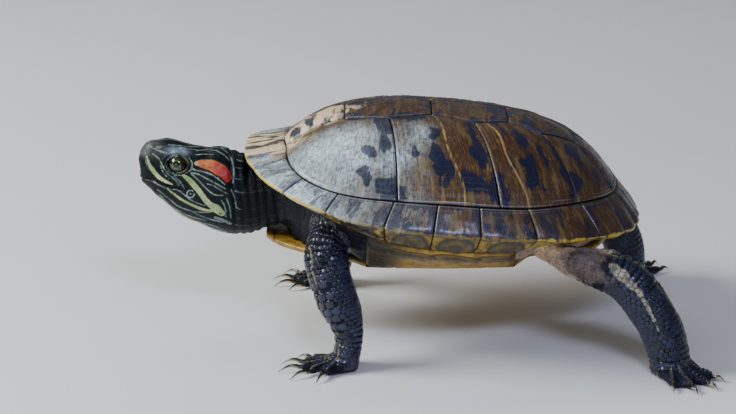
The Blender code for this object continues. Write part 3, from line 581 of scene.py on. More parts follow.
def scute(name, number, top, bottom, size, areola, node, line_at=None, ridged=None, blots=()):
    """A scute between its upper and lower edges, with edge grooves, growth rings and wrinkles."""
    n, m = size
    a, b = resample(top, n), resample(bottom, n)
    t = np.linspace(0, 1, m)
    xy = a[:, None] + (b - a)[:, None] * t[None, :, None]
    ang, rho = polar_of(xy[..., 0], xy[..., 1])
    grid = place(shell_point(ang, rho))
    flat = grid.reshape(-1, 3)
    loop = ([(i, 0) for i in range(n)] + [(n - 1, k) for k in range(1, m)]
            + [(i, m - 1) for i in range(n - 2, -1, -1)] + [(0, k) for k in range(m - 2, 0, -1)])
    idx = np.array([i * m + k for i, k in loop])
    outline = flat[idx]
    edge = near(flat, np.vstack([outline, outline[:1]]))[0]
    # plane coordinates of the scute
    e1 = grid[-1, m // 2] - grid[0, m // 2]
    e1 = e1 / np.linalg.norm(e1)
    nrm = np.cross(e1, grid[n // 2, -1] - grid[n // 2, 0])
    nrm = nrm / np.linalg.norm(nrm)
    if nrm[2] < 0:
        nrm = -nrm
    e2 = np.cross(nrm, e1)
    flat2 = np.stack([flat @ e1, flat @ e2], -1)
    home = grid[int(areola[0] * (n - 1)), int(areola[1] * (m - 1))]
    s, turn = ring_share(flat2, flat2[idx], np.array([home @ e1, home @ e2]))
    # outward normals of the dome
    du = np.gradient(grid, axis=0)
    dv = np.gradient(grid, axis=1)
    nn = np.cross(du, dv)
    size_n = np.linalg.norm(nn, axis=-1, keepdims=True)
    nn = nn / np.maximum(size_n, 1e-9)
    for end, inward in ((0, 1), (n - 1, n - 2)):        # where both edges meet in one corner
        flatrow = size_n[end, :, 0] < 1e-6
        nn[end, flatrow] = nn[inward, flatrow]
    if nn[n // 2, m // 2, 2] < 0:
        nn = -nn
    nn = nn.reshape(-1, 3)
    ulen = np.linalg.norm(np.diff(grid[:, m // 2], axis=0), axis=1).sum()
    vlen = np.linalg.norm(np.diff(grid[n // 2], axis=0), axis=1).sum()
    suv = np.stack([np.repeat(np.linspace(0, ulen, n), m), np.tile(t * vlen, n), np.full(n * m, float(number))], -1)
    fade = ease(edge, 0.3, 2.2)
    jitter = vnoise(flat, 5) - 0.5
    rings = np.sin(s * (9.0 + 0.26 * max(ulen, vlen)) * 2.4 + jitter * 1.6)
    relief = (-0.62 * bell(edge, 0.42) - 0.15 * bell(edge, 1.4)
              + 0.20 * (vnoise(suv * [1, .18, 1], 1.5) - 0.5) * fade
              + 0.085 * np.maximum(rings, -0.35) * fade * ease(s, 0.30, 0.8)
              + 0.55 * (vnoise(flat, 9) - 0.5) * fade
              + 0.45 * (1 - np.clip(s, 0, 1) ** 2.2))
    # where the painted highlight runs along the ridges beside the seams
    ridge_highlight = np.zeros(n * m)
    for k in ([m - 1] if ridged is None else ridged):
        d = near(flat, grid[:, k])[0]
        for off, high, show in ((1.15, 0.26, 1.0), (2.55, 0.22, 0.85)):
            relief = relief + high * bell(d - off, 0.42)
            relief = relief - 0.16 * bell(d - off - 0.7, 0.34)
            ridge_highlight = np.maximum(ridge_highlight, bell(d - off, 0.36) * show)
    for k in (0, n - 1):
        d = near(flat, grid[k])[0]
        relief = relief + 0.12 * bell(d - 1.0, 0.4)
        ridge_highlight = np.maximum(ridge_highlight, 0.60 * bell(d - 0.85, 0.34))
    outer = flat + nn * relief[:, None]
    inner = shrink_world(outline, 0.965)
    mid = shrink_world(home[None], 0.955)
    pts = np.vstack([outer, inner, mid])
    faces = []
    for i in range(n - 1):
        row = i * m + np.arange(m - 1)
        faces += np.stack([row, row + 1, row + m + 1, row + m], -1).tolist()
    base, count = n * m, len(idx)
    for q in range(count):
        r = (q + 1) % count
        faces.append([int(idx[r]), int(idx[q]), base + q, base + r])
        faces.append([base + r, base + q, base + count])
    painted_reflection, crown, nuchal_highlight = tints(flat, True)
    if line_at is None:
        line = np.full(n * m, 9.0)
    else:
        lx = line_at * ulen + 1.3 * np.sin(suv[:, 1] / 7.0) + 0.10 * suv[:, 1]
        line = np.abs(suv[:, 0] - lx)
    extra = count + 1
    du_, dv_ = np.repeat(np.linspace(0, 1, n), m), np.tile(t, n)
    warp = (vnoise(flat, 5.5) - 0.5) * 0.10
    blot = np.zeros(n * m)
    for u0, v0, ru, rv in blots:
        blot = np.maximum(blot, np.exp(-(((du_ + warp - u0) / (ru * 1.25)) ** 2) - ((dv_ + warp * 1.6 - v0) / (rv * 1.25)) ** 2))
    wild = np.full(n * m, 0.0 if blots else 1.0)

    def pad(v):
        v = np.asarray(v, float)
        tail = np.zeros((extra,) + v.shape[1:])
        return np.concatenate([v, tail])
    att = {"suv": pad(suv), "edge": pad(edge), "ring": pad(s), "painted_reflection": pad(painted_reflection), "crown": pad(crown),
           "nuchal_highlight": pad(nuchal_highlight), "line": np.r_[line, np.full(extra, 9.0)], "ridge_highlight": pad(ridge_highlight), "blot": pad(blot), "wild": pad(wild)}
    return piece(name, pts, faces, SCUTE, att, [node], outward=True)


def shrink_world(p, share):
    """Towards the shell's core, in the placed frame."""
    c, s = math.cos(PITCH), math.sin(PITCH)
    core = np.array([c * CENTRE_X + s * -10.0, 0.0, -s * CENTRE_X + c * -10.0 + RIM_HEIGHT])
    return core + (np.asarray(p, float) - core) * share


V = VERTEBRAL_CORNERS
number = 0
for side, word in ((1, "left"), (-1, "right")):
    def corner(i):
        return (V[i][0], -side * V[i][1])

    def arc(a0, a1):
        return seam_xy(side * np.linspace(a0, a1, 60))

    e = COSTAL_SEAM_ENDS
    last = tuple(seam_xy(np.array(side * e[4])))
    tops = ([corner(0), corner(1), corner(2)], [corner(2), corner(3), corner(4)],
            [corner(4), corner(5), corner(6)], [corner(6), corner(7), last])
    for i, top in enumerate(tops):
        number += 1
        a0, a1 = e[i], e[i + 1]
        size = (92, 74) if i < 3 else (70, 66)
        scute(f"scute_costal_{word}_{i + 1}", number, top, arc(a0, a1), size,
              ((0.66, 0.40), (0.60, 0.40), (0.58, 0.42), (0.5, 0.42))[i], f"costal_{word}_{i + 1}",
              (None, 0.50, 0.16, None)[i], None, BLOTS[i])

rear = tuple(seam_xy(np.array(COSTAL_SEAM_ENDS[4])))
edges = ([(V[0][0], -V[0][1]), (V[1][0], -V[1][1])],
         [(V[1][0], -V[1][1]), (V[2][0], -V[2][1]), (V[3][0], -V[3][1])],
         [(V[3][0], -V[3][1]), (V[4][0], -V[4][1]), (V[5][0], -V[5][1])],
         [(V[5][0], -V[5][1]), (V[6][0], -V[6][1]), (V[7][0], -V[7][1])],
         [(V[7][0], -V[7][1]), rear])
for i, left in enumerate(edges):
    number += 1
    left = [tuple(q) for q in left]
    if i == 4:
        left = left + [tuple(q) for q in seam_xy(np.linspace(COSTAL_SEAM_ENDS[4] + 1, 179.6, 12))]
    if i == 0:
        front = seam_xy(np.linspace(0.05, COSTAL_SEAM_ENDS[0], 6))
        left = [tuple(q) for q in front] + left
    right = [(x, -y) for x, y in left]
    scute(f"scute_vertebral_{i + 1}", number, left, right, (76, 60), (0.62, 0.5), f"vertebral_{i + 1}",
          None, (0, 59))

# ------------------------------------------------------------------ marginals


def marginal_profile(a):
    """Closed section of the marginal ring: (k, 3) points, evenly dense where it is seen."""
    r, x, y, z = (float(v) for v in rim(a))
    seam = float(table(SEAM_RHO, a))
    under, drop = float(table(UNDER_RHO, a)), float(table(UNDER_DROP, a))

    def at(rho, height):
        return [CENTRE_X + (x - CENTRE_X) * rho, y * rho, z + height]
    top = shell_point(a, seam)
    rows = [shell_point(a, seam + (0.985 - seam) * t) for t in np.linspace(0, 1, 22)]
    rows += [at(0.9975, 0.1), at(1.0, -0.5), at(0.998, -1.15), at(0.990, -1.75)]
    c0, c1, c2 = np.array(at(0.990, -1.75)), np.array(at((1 + under) / 2, -1.6 - drop * 0.55)), np.array(at(under, -drop))
    for t in np.linspace(0, 1, 18)[1:]:
        rows.append((1 - t) ** 2 * c0 + 2 * t * (1 - t) * (2 * c1 - (c0 + c2) / 2) + t * t * c2)
    rows += [at(under - 0.03, -drop + 2.6), shrink(top, PLATE_SHRINK)]
    return np.array(rows)


TOP_ROWS, LIP_ROW, SEEN_ROWS = 22, 23, 43


def marginal(name, number, a0, a1, bulge, node=None):
    span = abs(a1 - a0)
    length = float(np.linalg.norm(np.array(rim(a1)[1:3]) - np.array(rim(a0)[1:3])))
    n = max(14, int(length / 0.85))
    angles = np.linspace(a0, a1, n)
    rings = np.array([marginal_profile(a) for a in angles])
    t = np.linspace(0, 1, n)
    k = rings.shape[1]
    seen = SEEN_ROWS
    step = np.linalg.norm(np.diff(rings[:, :seen], axis=1), axis=2)
    down = np.concatenate([np.zeros((n, 1)), np.cumsum(step, axis=1)], 1)      # mm from the top seam
    down = np.concatenate([down, np.repeat(down[:, -1:], k - seen, 1)], 1)
    lip = down - down[:, LIP_ROW:LIP_ROW + 1]
    girth = np.linalg.norm(np.diff(rings[:, LIP_ROW], axis=0), axis=1).sum()
    # lengths at this row, so that the seams keep one width
    widths = np.linalg.norm(np.diff(rings, axis=0), axis=2).sum(0)
    ends = np.minimum(t, 1 - t)[:, None] * widths[None]
    edge = np.minimum(ends, down)
    placed = place(rings)
    du = np.gradient(placed, axis=0)
    dv = np.gradient(placed, axis=1)
    nn = np.cross(du, dv)
    nn = nn / np.maximum(np.linalg.norm(nn, axis=-1, keepdims=True), 1e-9)
    probe = nn[n // 2, 8]
    if probe[2] < 0:
        nn = -nn
    flat, nn = placed.reshape(-1, 3), nn.reshape(-1, 3)
    edge, lipf, downf = edge.reshape(-1), lip.reshape(-1), down.reshape(-1)
    along = np.repeat(t, k)
    s = np.maximum(np.abs(along - 0.62) * 2 * 0.82, np.clip(1 - downf / np.repeat(down[:, LIP_ROW], k), 0, 1))
    is_seen = np.tile(np.arange(k) < seen, n).astype(float)
    fade = ease(edge, 0.2, 1.9)
    suv = np.stack([along * girth, downf, np.full(n * k, float(number))], -1)
    relief = (-0.58 * bell(edge, 0.42) - 0.14 * bell(edge, 1.3)
              + 0.02 * np.sin(s * 26 + vnoise(flat, 4) * 2.0) * fade
              + 0.42 * (vnoise(flat, 6) - 0.5) * fade
              + 0.22 * (vnoise(suv * [1, .25, 1], 1.4) - 0.5) * fade
              + bulge * (np.sin(math.pi * np.clip(along * 1.12 - 0.02, 0, 1)) - 0.35) * bell(lipf, 5.0)
              + 0.26 * bell(downf - 1.15, 0.42) + 0.20 * bell(downf - 2.5, 0.4))
    # where the painted highlight runs along the ridges beside the seams
    ridge_highlight = np.maximum(bell(downf - 1.15, 0.38), 0.8 * bell(downf - 2.5, 0.36))
    ridge_highlight = np.maximum(ridge_highlight, 0.60 * bell(np.repeat(np.minimum(t, 1 - t), k) * girth - 0.85, 0.34) * (lipf < 0))
    outer = flat + nn * (relief * is_seen)[:, None]
    pts, faces = tube(outer.reshape(n, k, 3))
    painted_reflection, crown, nuchal_highlight = tints(flat, True)
    crown = crown * ease(flat[:, 0], 20, 70)
    mid_angle = abs((a0 + a1) / 2)
    under = ease(lipf, 1.2, 2.2)
    gold = np.full(n * k, 0.25 + 0.75 * (1 - ease(mid_angle, 48, 60)) + 0.60 * ease(mid_angle, 118, 140))
    c = np.repeat(np.abs(t - 0.55) * girth, k)
    eye = np.hypot(c * 0.80, (lipf - 8.4) * 1.0)
    line = np.full(n * k, 9.0)
    bluish = ease(mid_angle, 66, 76) * (1 - ease(mid_angle, 120, 132))       # darker over the bridge
    blot = bluish * (0.16 + 0.34 * ease(downf / np.repeat(down[:, LIP_ROW], k), 0.25, 0.8)) * ease(vnoise(flat + 90, 7), 0.25, 0.6)
    # painted shade towards the front under the marginals
    painted_shade = ease(-flat[:, 0], 14, 34) * (1 - 0.5 * ease(-flat[:, 0], 62, 74))

    def pad(v, fill=0.0):
        v = np.asarray(v, float)
        return np.concatenate([v, np.full((2,) + v.shape[1:], fill)])
    att = {"suv": pad(suv), "edge": pad(edge), "ring": pad(np.clip(s, 0, 1)), "painted_reflection": pad(painted_reflection), "crown": pad(crown),
           "nuchal_highlight": pad(nuchal_highlight), "line": pad(line, 9), "ridge_highlight": pad(ridge_highlight * (lipf < 0)), "lip": pad(lipf), "under": pad(under),
           "gold": pad(np.clip(gold, 0, 1)), "eye": pad(eye, 9), "blot": pad(blot), "wild": pad(np.full(n * k, 0.75)),
           "painted_shade": pad(painted_shade)}
    return piece(name, pts, faces, RIM, att, [node] if node else [], outward=True)


S = MARGINAL_SEAMS
number += 1
marginal("scute_nuchal", number, -S[0], S[0], 0.0, "nuchal")
for side, word in ((1, "left"), (-1, "right")):
    for i in range(12):
        number += 1
        node = {0: f"marginals_front_{word}", 3: f"marginals_bridge_{word}", 7: f"marginals_rear_{word}"}.get(i)
        bulge = 0.35 if i < 7 else (1.1 if i < 11 else 0.8)
        marginal(f"scute_marginal_{word}_{i + 1}", number, side * S[i], side * S[i + 1], bulge, node)

# ------------------------------------------------------------------ plastron and bridges
# seams as lines in (x, distance from the middle); blotches as (x, distance, radius along, radius across)
CROSS = [[(-76, 0), (-79, 8), (-84, 16)], [(-57, 0), (-56, 15), (-53, 37)], [(-27, 0), (-26, 20), (-24, 44), (-25, 60)],
         [(16, 0), (17, 25), (20, 44), (21, 60)], [(46, 0), (48, 15), (52, 31)]]
BLOTCH = [(-82.5, 6.5, 5.5, 4.5), (-67, 14, 8.5, 8), (-42, 19, 10.5, 11.5), (-5, 21, 12.5, 12.5), (31, 16.5, 9.5, 9.5),
          (63, 14, 11, 8.5), (-29, 49, 8, 8), (12, 51, 9, 8)]


def belly_fields(p):
    q = np.stack([p[:, 0], np.abs(p[:, 1])], -1)
    edge = q[:, 1] + 0.25 * np.sin(q[:, 0] / 6)
    for line in CROSS:
        edge = np.minimum(edge, near(q, line)[0])
    eye = np.full(len(q), 9.0)
    for x, y, rx, ry in BLOTCH:
        eye = np.minimum(eye, np.hypot((q[:, 0] - x) / rx, (q[:, 1] - y) / ry))
    return edge, eye


def plastron():
    n = 210
    xs = np.linspace(-88, 83, n)
    half = np.interp(xs, [r[0] for r in PLASTRON_HALF], [r[1] for r in PLASTRON_HALF])
    smooth = np.convolve(np.r_[np.full(4, half[0]), half, np.full(4, half[-1])], np.hanning(11)[1:-1] / np.hanning(11).sum(), "valid")
    smooth[(xs > -36) & (xs < 33)] = half[(xs > -36) & (xs < 33)]
    rings = []
    for x, w in zip(xs, smooth):
        z = float(plastron_low(x))
        t = PLASTRON_THICK
        low = np.linspace(-1, 1, 75)
        lowz = z + 1.6 * np.clip((np.abs(low) * w - (w - 3.2)) / 3.2, 0, 1) ** 2.0
        ring = [(x, q * w, v) for q, v in zip(low, lowz)]
        ring += [(x, w + 0.15, z + 2.1), (x, w - 0.1, z + t - 0.7), (x, w - 1.0, z + t), (x, 0, z + t), (x, 1.0 - w, z + t), (x, 0.1 - w, z + t - 0.7), (x, -w - 0.15, z + 2.1)]
        rings.append(ring)
    rings = np.array(rings)
    k = rings.shape[1]
    flat = rings.reshape(-1, 3)
    edge, eye = belly_fields(flat)
    outline = np.stack([xs, smooth], -1)
    lower = np.tile(np.arange(k) < 75, n)
    relief = np.where(lower, 0.50 * bell(edge, 0.55) + 0.12 * bell(edge, 1.6) - 0.05 * np.sin(edge * 3.3) * ease(edge, .5, 2)
                      - 0.25 * (vnoise(flat, 8) - 0.5), 0)
    flat = flat + np.stack([0 * relief, 0 * relief, relief], -1)
    pts, faces = tube(flat.reshape(n, k, 3))
    att = {"edge": np.r_[edge, 9, 9], "eye": np.r_[eye, 9, 9], "painted_shade": np.zeros(len(pts))}
    return piece("plastron_plate", pts, faces, BELLY, att, ["plastron"], outward=True)


def bridge(side, word):
    xs = np.linspace(-38.2, 34.2, 96)
    scan = np.linspace(40, 146, 425)
    feet = place(np.array([marginal_profile(a)[SEEN_ROWS - 1] for a in scan[::5]]))
    backs = place(np.array([marginal_profile(a)[SEEN_ROWS] for a in scan[::5]]))
    order = np.argsort(feet[:, 0])
    rings = []
    for x in xs:
        fy, fz = (float(np.interp(x, feet[order, 0], v[order])) for v in (np.abs(feet[:, 1]), feet[:, 2]))
        iy = float(np.interp(x, feet[order, 0], np.abs(backs[:, 1])[order]))
        edge = float(np.interp(x, [r[0] for r in PLASTRON_HALF], [r[1] for r in PLASTRON_HALF]))
        z0 = PLASTRON_Z
        outer = [(fy + 0.3, fz + 0.3), (fy - 0.3, fz - (fz - z0) * 0.24), (fy - 0.5 - (fy - edge) * 0.22, fz - (fz - z0) * 0.48),
                 (edge + (fy - edge) * 0.52, z0 + 4.6), (edge + (fy - edge) * 0.26, z0 + 2.5), (edge - 0.2, z0 + 1.5)]
        curve = catmull([(q[0], q[1]) for q in outer], 8)
        ring = [(x, y, z) for y, z in curve]
        ring += [(x, edge - 0.4, z0 + 3.9), (x, edge + (fy - edge) * 0.2, z0 + 6.2), (x, iy - 1.4, fz - 1.0), (x, iy - 0.6, fz + 0.8)]
        close = max(0.0, 1 - min(x + 38.2, 34.2 - x) / 5.0)
        pull = 3.2 * (1 - math.sqrt(max(0.0, 1 - close * close)))
        ring = [(q[0], q[1] - (pull if j < 34 else 0), q[2] + 0.35 * (pull if j < 34 else 0)) for j, q in enumerate(ring)]
        rings.append([(q[0], -side * q[1], q[2]) for q in ring])
    rings = np.array(rings)
    n, k = rings.shape[:2]
    flat = rings.reshape(-1, 3)
    foot = np.tile(np.arange(k), n)
    seams = place(np.array([marginal_profile(a)[SEEN_ROWS - 1] for a in MARGINAL_SEAMS[3:8]]))[:, 0]
    edge = np.min([near(np.stack([flat[:, 0], np.abs(flat[:, 1])], -1), line)[0] for line in CROSS[2:4]], axis=0)
    rise = np.linalg.norm(np.diff(rings[n // 2, :41], axis=0), axis=1)
    w = np.r_[0, np.cumsum(rise)]
    wf = np.tile(np.r_[w, np.full(k - len(w), w[-1])], n)
    for off, half in ((0.0, 0.0), (7.5, 0.0)):
        edge = np.minimum(edge, np.abs(wf - off) + half)
    eye = np.full(len(flat), 9.0)
    for c in (seams[:-1] + seams[1:]) / 2:
        eye = np.minimum(eye, np.hypot((flat[:, 0] - c - 2) / 14.5, (wf - 4.2 - 0.05 * (flat[:, 0] - c)) / 2.5))
    relief = 0.5 * bell(edge, 0.55)
    out = np.stack([0 * relief, np.sign(flat[:, 1]) * -relief * 0.6, relief * 0.6], -1)
    flat = flat + np.where((foot < 41)[:, None], out, 0)
    pts, faces = tube(flat.reshape(n, k, 3))
    # painted shade at the bridge's front end and, less, at its rear end
    painted_shade = ease(-flat[:, 0], 9, 31) + 0.55 * ease(flat[:, 0], 24, 34)
    att = {"edge": np.r_[edge, 9, 9], "eye": np.r_[eye, 9, 9], "painted_shade": np.r_[np.clip(painted_shade, 0, 1), 0, 0]}
    return piece(f"bridge_plate_{word}", pts, faces, BELLY, att, [f"bridge_{word}"], outward=True)


plastron()
bridge(1, "left")
bridge(-1, "right")

# ------------------------------------------------------------------ flesh: one skin
HEAD = [(-150.3, 0, 82.4, 3.6, 6.0), (-149.5, 0, 82.8, 5.2, 9.2), (-147.6, 0, 83.6, 6.7, 11.4), (-144.5, 0, 84.3, 8.0, 13.0),
        (-140, 0, 84.2, 9.6, 14.4), (-134, 0, 81.6, 11.8, 15.9), (-128, 0, 78.5, 13.4, 17.5),
        (-121, 0, 75.3, 15.2, 19.2), (-113, 0, 73.3, 16.6, 20.4), (-105, 0, 70.3, 16.6, 20.8),
        (-98, 0, 68.8, 16.2, 19.6), (-88, 0, 70.0, 16.8, 16.4), (-76, 0, 70.0, 18.0, 14.8),
        (-66, 0, 69.5, 17.5, 12.5), (-52, 0, 70.0, 16.5, 11.0)]
FORE = [(-44, -28, 67, 9, 8.0), (-46, -33, 66, 10, 8.5), (-53, -43, 63.5, 11, 9.5), (-57.5, -51, 58, 10.5, 10.2),
        (-57, -55.5, 50, 10.2, 10.2), (-54.5, -58, 42, 9.6, 10.0), (-51.5, -59.5, 33, 9.8, 9.6),
        (-48.3, -60.5, 25, 8.6, 8.4), (-46.3, -61, 17.5, 7.2, 6.8), (-46.8, -61.4, 11, 8.0, 6.4),
        (-48.0, -62, 4.5, 8.6, 6.4), (-48.4, -62.1, 0.5, 8.4, 6.0)]
HIND = [(40, -30, 58, 8, 4.6), (42, -34, 57.5, 9, 5.0), (50.5, -44.5, 55.6, 11.5, 4.9), (60, -54.5, 52.2, 12.0, 6.4),
        (72, -60.5, 50.8, 12.0, 9.2), (83, -63, 48.0, 10.5, 10.0), (90.5, -64.5, 42.5, 9.8, 10.4),
        (97.5, -65.5, 33.5, 9.8, 10.4), (103.5, -66.5, 24, 10.2, 10.4), (107, -67.5, 15, 10.4, 10.2),
        (108.8, -68.5, 7, 10.6, 9.8), (109.1, -68.9, 0.5, 10.6, 9.6)]
TAIL = [(56, 0, 59.5, 9, 4.0), (64, 0, 58.5, 9, 3.8), (76, 1, 55.8, 7.5, 3.7), (83, 2.8, 55.0, 6.2, 3.4),
        (88.5, 6, 51.5, 5.2, 3.8), (91.5, 10.5, 46.5, 4.2, 4.0), (91.5, 15.5, 41.5, 3.0, 3.0), (88.2, 20.2, 37.3, 1.1, 1.1)]
VOXEL = 1.08
flesh = []            # closed lofts that the remesh joins into one


def add_loft(rings):
    rings = np.array(rings, float)
    rings[..., 2] = np.maximum(rings[..., 2], 0.0)
    flesh.append(tube(rings))


def flip(p, side):
    p = np.array(p, float)
    p[..., 1] *= side
    return p


add_loft(rings_of(catmull(HEAD, 4), 36, power=2.25))
add_loft(rings_of(catmull(TAIL, 4), 20))
add_loft(rings_of([(-60, 0, 68, 8, 8), (0, 0, 66, 8, 8), (70, 0, 60, 8, 4)], 12))
# loose collar of skin round the neck root
add_loft(rings_of(catmull([(-82, 0, 70.5, 17, 12), (-78, 0, 70.5, 21, 14.5), (-72, 0, 70, 25, 16), (-62, 0, 69, 30, 16.5),
                           (-52, 0, 68, 30, 15)], 3), 28, power=2.3))
add_loft(rings_of(catmull([(62, 0, 58.5, 26, 5.5), (72, 0, 57.5, 19, 5.0), (79, 1.0, 56, 12, 4.4), (84, 2.5, 54.5, 7, 3.6)], 3), 24))

feet_at = np.arange(2, 178, 2.0)
FOOT_LINE = place(np.array([marginal_profile(a)[SEEN_ROWS - 1] for a in feet_at]))
FOOT_ORDER = np.argsort(FOOT_LINE[:, 0])


def wall(x, share, low_share=1.0):
    """Section of the soft wall between the marginals' lower edge and the plastron at this x."""
    my = float(np.interp(x, FOOT_LINE[FOOT_ORDER, 0], np.abs(FOOT_LINE[FOOT_ORDER, 1])))
    mz = float(np.interp(x, FOOT_LINE[FOOT_ORDER, 0], FOOT_LINE[FOOT_ORDER, 2]))
    edge = float(np.interp(x, [r[0] for r in PLASTRON_HALF], [r[1] for r in PLASTRON_HALF]))
    base = float(plastron_low(x)) + PLASTRON_THICK - 0.8
    out = []
    my, edge = (my - 0.6) * share, (edge - 1.2) * low_share
    half = [(my * 0.55, mz + 12 * share), (my * 0.86, mz + 7.5 * share), (my * 0.985, mz + 2.6), (my, mz + 0.4),
            (my * 0.955 + edge * 0.045, mz * 0.86 + base * 0.14), (my * 0.62 + edge * 0.38, mz * 0.42 + base * 0.58),
            (edge, base + 0.4), (edge * 0.85, base - 0.2)]
    out = [(x, -y, z) for y, z in half] + [(x, y, z) for y, z in reversed(half)]
    return resample(out + out[:1], 49)[:-1]


add_loft([wall(x, s, q) for x, s, q in ((-77, .42, .5), (-74, .62, .72), (-70, .80, .86), (-64, .93, .95), (-56, .985, 1), (-48, 1, 1), (-40, 1, 1), (-34, .97, .97))])
add_loft([wall(x, s, q) for x, s, q in ((29, .97, .97), (35, 1, 1), (42, 1, 1), (50, 1, 1), (58, .985, 1), (65, .93, .97), (71, .82, .88), (75, .66, .7))])

LIMBS = {}
for side, word in ((1, "left"), (-1, "right")):
    def slid(stations, shift, start):
        s = np.array(stations, float)
        t = np.clip((start - s[:, 2]) / start, 0, 1)
        s[:, 0] += shift[0] * t
        s[:, 1] += shift[1] * t
        return s

    fore = slid(FORE, (0, 0) if side == 1 else (-7, 2), 60)
    hind = slid(HIND, (0, 0) if side == 1 else (-9, 3), 55)
    for key, path, up_axis in (("fore", fore, (-1, -0.25, 0.2)), ("hind", hind, (1, -0.2, 0.3))):
        dense = catmull(path, 5)
        rings = rings_of(flip(dense, side), 26, up=flip(up_axis, side), power=2.1)
        add_loft(rings)
        LIMBS[key, word] = (flip(dense, side), rings)
    wx, wy = fore[10][0], fore[10][1]
    palm = [(wx + 4, wy + 1, 3.4, 5.5, 3.6), (wx - 2, wy - 0.8, 3.2, 8.8, 4.6), (wx - 8, wy - 2.6, 2.6, 10.2, 3.7),
            (wx - 12, wy - 3.9, 2.1, 9.2, 3.0)]
    add_loft(rings_of(catmull(flip(palm, side), 3), 20))
    LIMBS["digits", "fore", word] = []
    for i, (turn, reach, length) in enumerate(((42, 15.5, 8.5), (22, 18.5, 10.5), (2, 19.5, 11.0), (-20, 18.5, 10.5), (-46, 15.0, 8.5))):
        a = math.radians(turn - 14)
        d = np.array([-math.cos(a), math.sin(a), 0])
        base = np.array([wx - 2, wy - 0.8, 2.6])
        tip = base + d * reach
        p0, p1 = base + d * 5.5, np.array([tip[0], tip[1], 2.1])
        rows = [(*(p0 + (p1 - p0) * t + np.array([0, 0, 1.1 * math.sin(math.pi * t)])), r, r * 0.98)
                for t, r in ((0, 2.7), (0.3, 2.5), (0.55, 2.15), (0.75, 2.35), (0.92, 2.1), (1.0, 1.7), (1.08, 1.0))]
        add_loft(rings_of(catmull(flip(rows, side), 3), 14))
        LIMBS["digits", "fore", word].append((flip(p0, side), flip(p1, side), flip(d, side), flip(tip + d * 1.55, side), length, 1.15, 1.2))
    wx, wy = hind[10][0], hind[10][1]
    heading = math.radians(62)
    out = np.array([math.cos(heading), -math.sin(heading), 0])
    palm = [(wx + out[0] * t, wy + out[1] * t, z, w, h) for t, w, h, z in
            ((-5, 6.5, 4.2, 4.0), (2, 9.8, 5.6, 4.4), (10, 11.4, 4.0, 3.0), (17, 12.0, 2.6, 1.9), (21.5, 11.0, 1.6, 1.2))]
    add_loft(rings_of(catmull(flip(palm, side), 3), 24))
    LIMBS["digits", "hind", word] = []
    for i, (turn, reach, length) in enumerate(((30, 23, 5.5), (10, 26, 6.0), (-10, 26, 6.0), (-30, 23, 5.5))):
        a = heading + math.radians(turn)
        d = np.array([math.cos(a), -math.sin(a), 0])
        base = np.array([wx, wy, 2.4])
        tip = base + d * reach
        p0, p1 = base + d * 8, np.array([tip[0], tip[1], 2.0])
        rows = [(*(p0 + (p1 - p0) * t + np.array([0, 0, 0.9 * math.sin(math.pi * t)])), r, r * 0.98)
                for t, r in ((0, 2.9), (0.3, 2.6), (0.55, 2.2), (0.78, 2.4), (0.93, 2.0), (1.0, 1.6), (1.07, 0.9))]
        add_loft(rings_of(catmull(flip(rows, side), 3), 14))
        LIMBS["digits", "hind", word].append((flip(p0, side), flip(p1, side), flip(d, side), flip(tip + d * 1.5, side), length, 1.05, 0.9))


def joined_flesh():
    pts, faces, base = [], [], 0
    for p, f in flesh:
        pts.append(p)
        faces += [[int(v) + base for v in q] for q in f]
        base += len(p)
    mesh = bpy.data.meshes.new("flesh_lofts")
    mesh.from_pydata(np.vstack(pts).tolist(), [], faces)      # still in mm
    bm = bmesh.new()
    bm.from_mesh(mesh)
    bmesh.ops.recalc_face_normals(bm, faces=bm.faces)
    bm.to_mesh(mesh)
    bm.free()
    obj = bpy.data.objects.new("flesh_lofts", mesh)
    bpy.context.scene.collection.objects.link(obj)
    mod = obj.modifiers.new("voxels", "REMESH")
    mod.mode = "VOXEL"
    mod.voxel_size = VOXEL
    bpy.context.view_layer.update()
    made = bpy.data.meshes.new_from_object(obj.evaluated_get(bpy.context.evaluated_depsgraph_get()))
    bpy.data.objects.remove(obj, do_unlink=True)
    # the head, where the markings are fine, gets half the spacing
    bm = bmesh.new()
    bm.from_mesh(made)
    fine = [e for e in bm.edges if all(v.co.x < -101.5 for v in e.verts)]
    bmesh.ops.subdivide_edges(bm, edges=fine, cuts=1, use_grid_fill=True)
    bm.to_mesh(made)
    bm.free()
    return made


skin = joined_flesh()
count = len(skin.vertices)
P = np.zeros(count * 3, np.float32)
skin.vertices.foreach_get("co", P)
P = P.reshape(-1, 3).astype(float)
E = np.zeros(len(skin.edges) * 2, np.int32)
skin.edges.foreach_get("vertices", E)
E = E.reshape(-1, 2)
DEGREE = np.maximum(np.bincount(E.ravel(), minlength=count), 1)[:, None]


def spread(v):
    out = np.stack([np.bincount(E[:, 0], v[E[:, 1], k], count) + np.bincount(E[:, 1], v[E[:, 0], k], count)
                    for k in range(v.shape[1])], -1)
    return out / DEGREE


def relax(p, rounds, there=1.0):
    for _ in range(rounds):
        p = p + 0.55 * there * (spread(p) - p)
        p = p - 0.50 * there * (spread(p) - p)
    return p


def normals():
    skin.vertices.foreach_set("co", P.astype(np.float32).ravel())
    skin.update()
    n = np.zeros(count * 3, np.float32)
    skin.vertex_normals.foreach_get("vector", n)
    return n.reshape(-1, 3).astype(float)


root_zone = ease(P[:, 2], 30, 44)[:, None]
P = relax(P, 10)
for _ in range(3):
    P = P + 0.5 * root_zone * (spread(P) - P) * (P[:, :1] > -98)
P[:, 2] = np.maximum(P[:, 2], 0.0)

corners = np.zeros(len(skin.loops), np.int32)
skin.loops.foreach_get("vertex_index", corners)
starts, totals = np.zeros(len(skin.polygons), np.int32), np.zeros(len(skin.polygons), np.int32)
skin.polygons.foreach_get("loop_start", starts)
skin.polygons.foreach_get("loop_total", totals)
POLYS = [corners[a:a + t].tolist() for a, t in zip(starts, totals)]

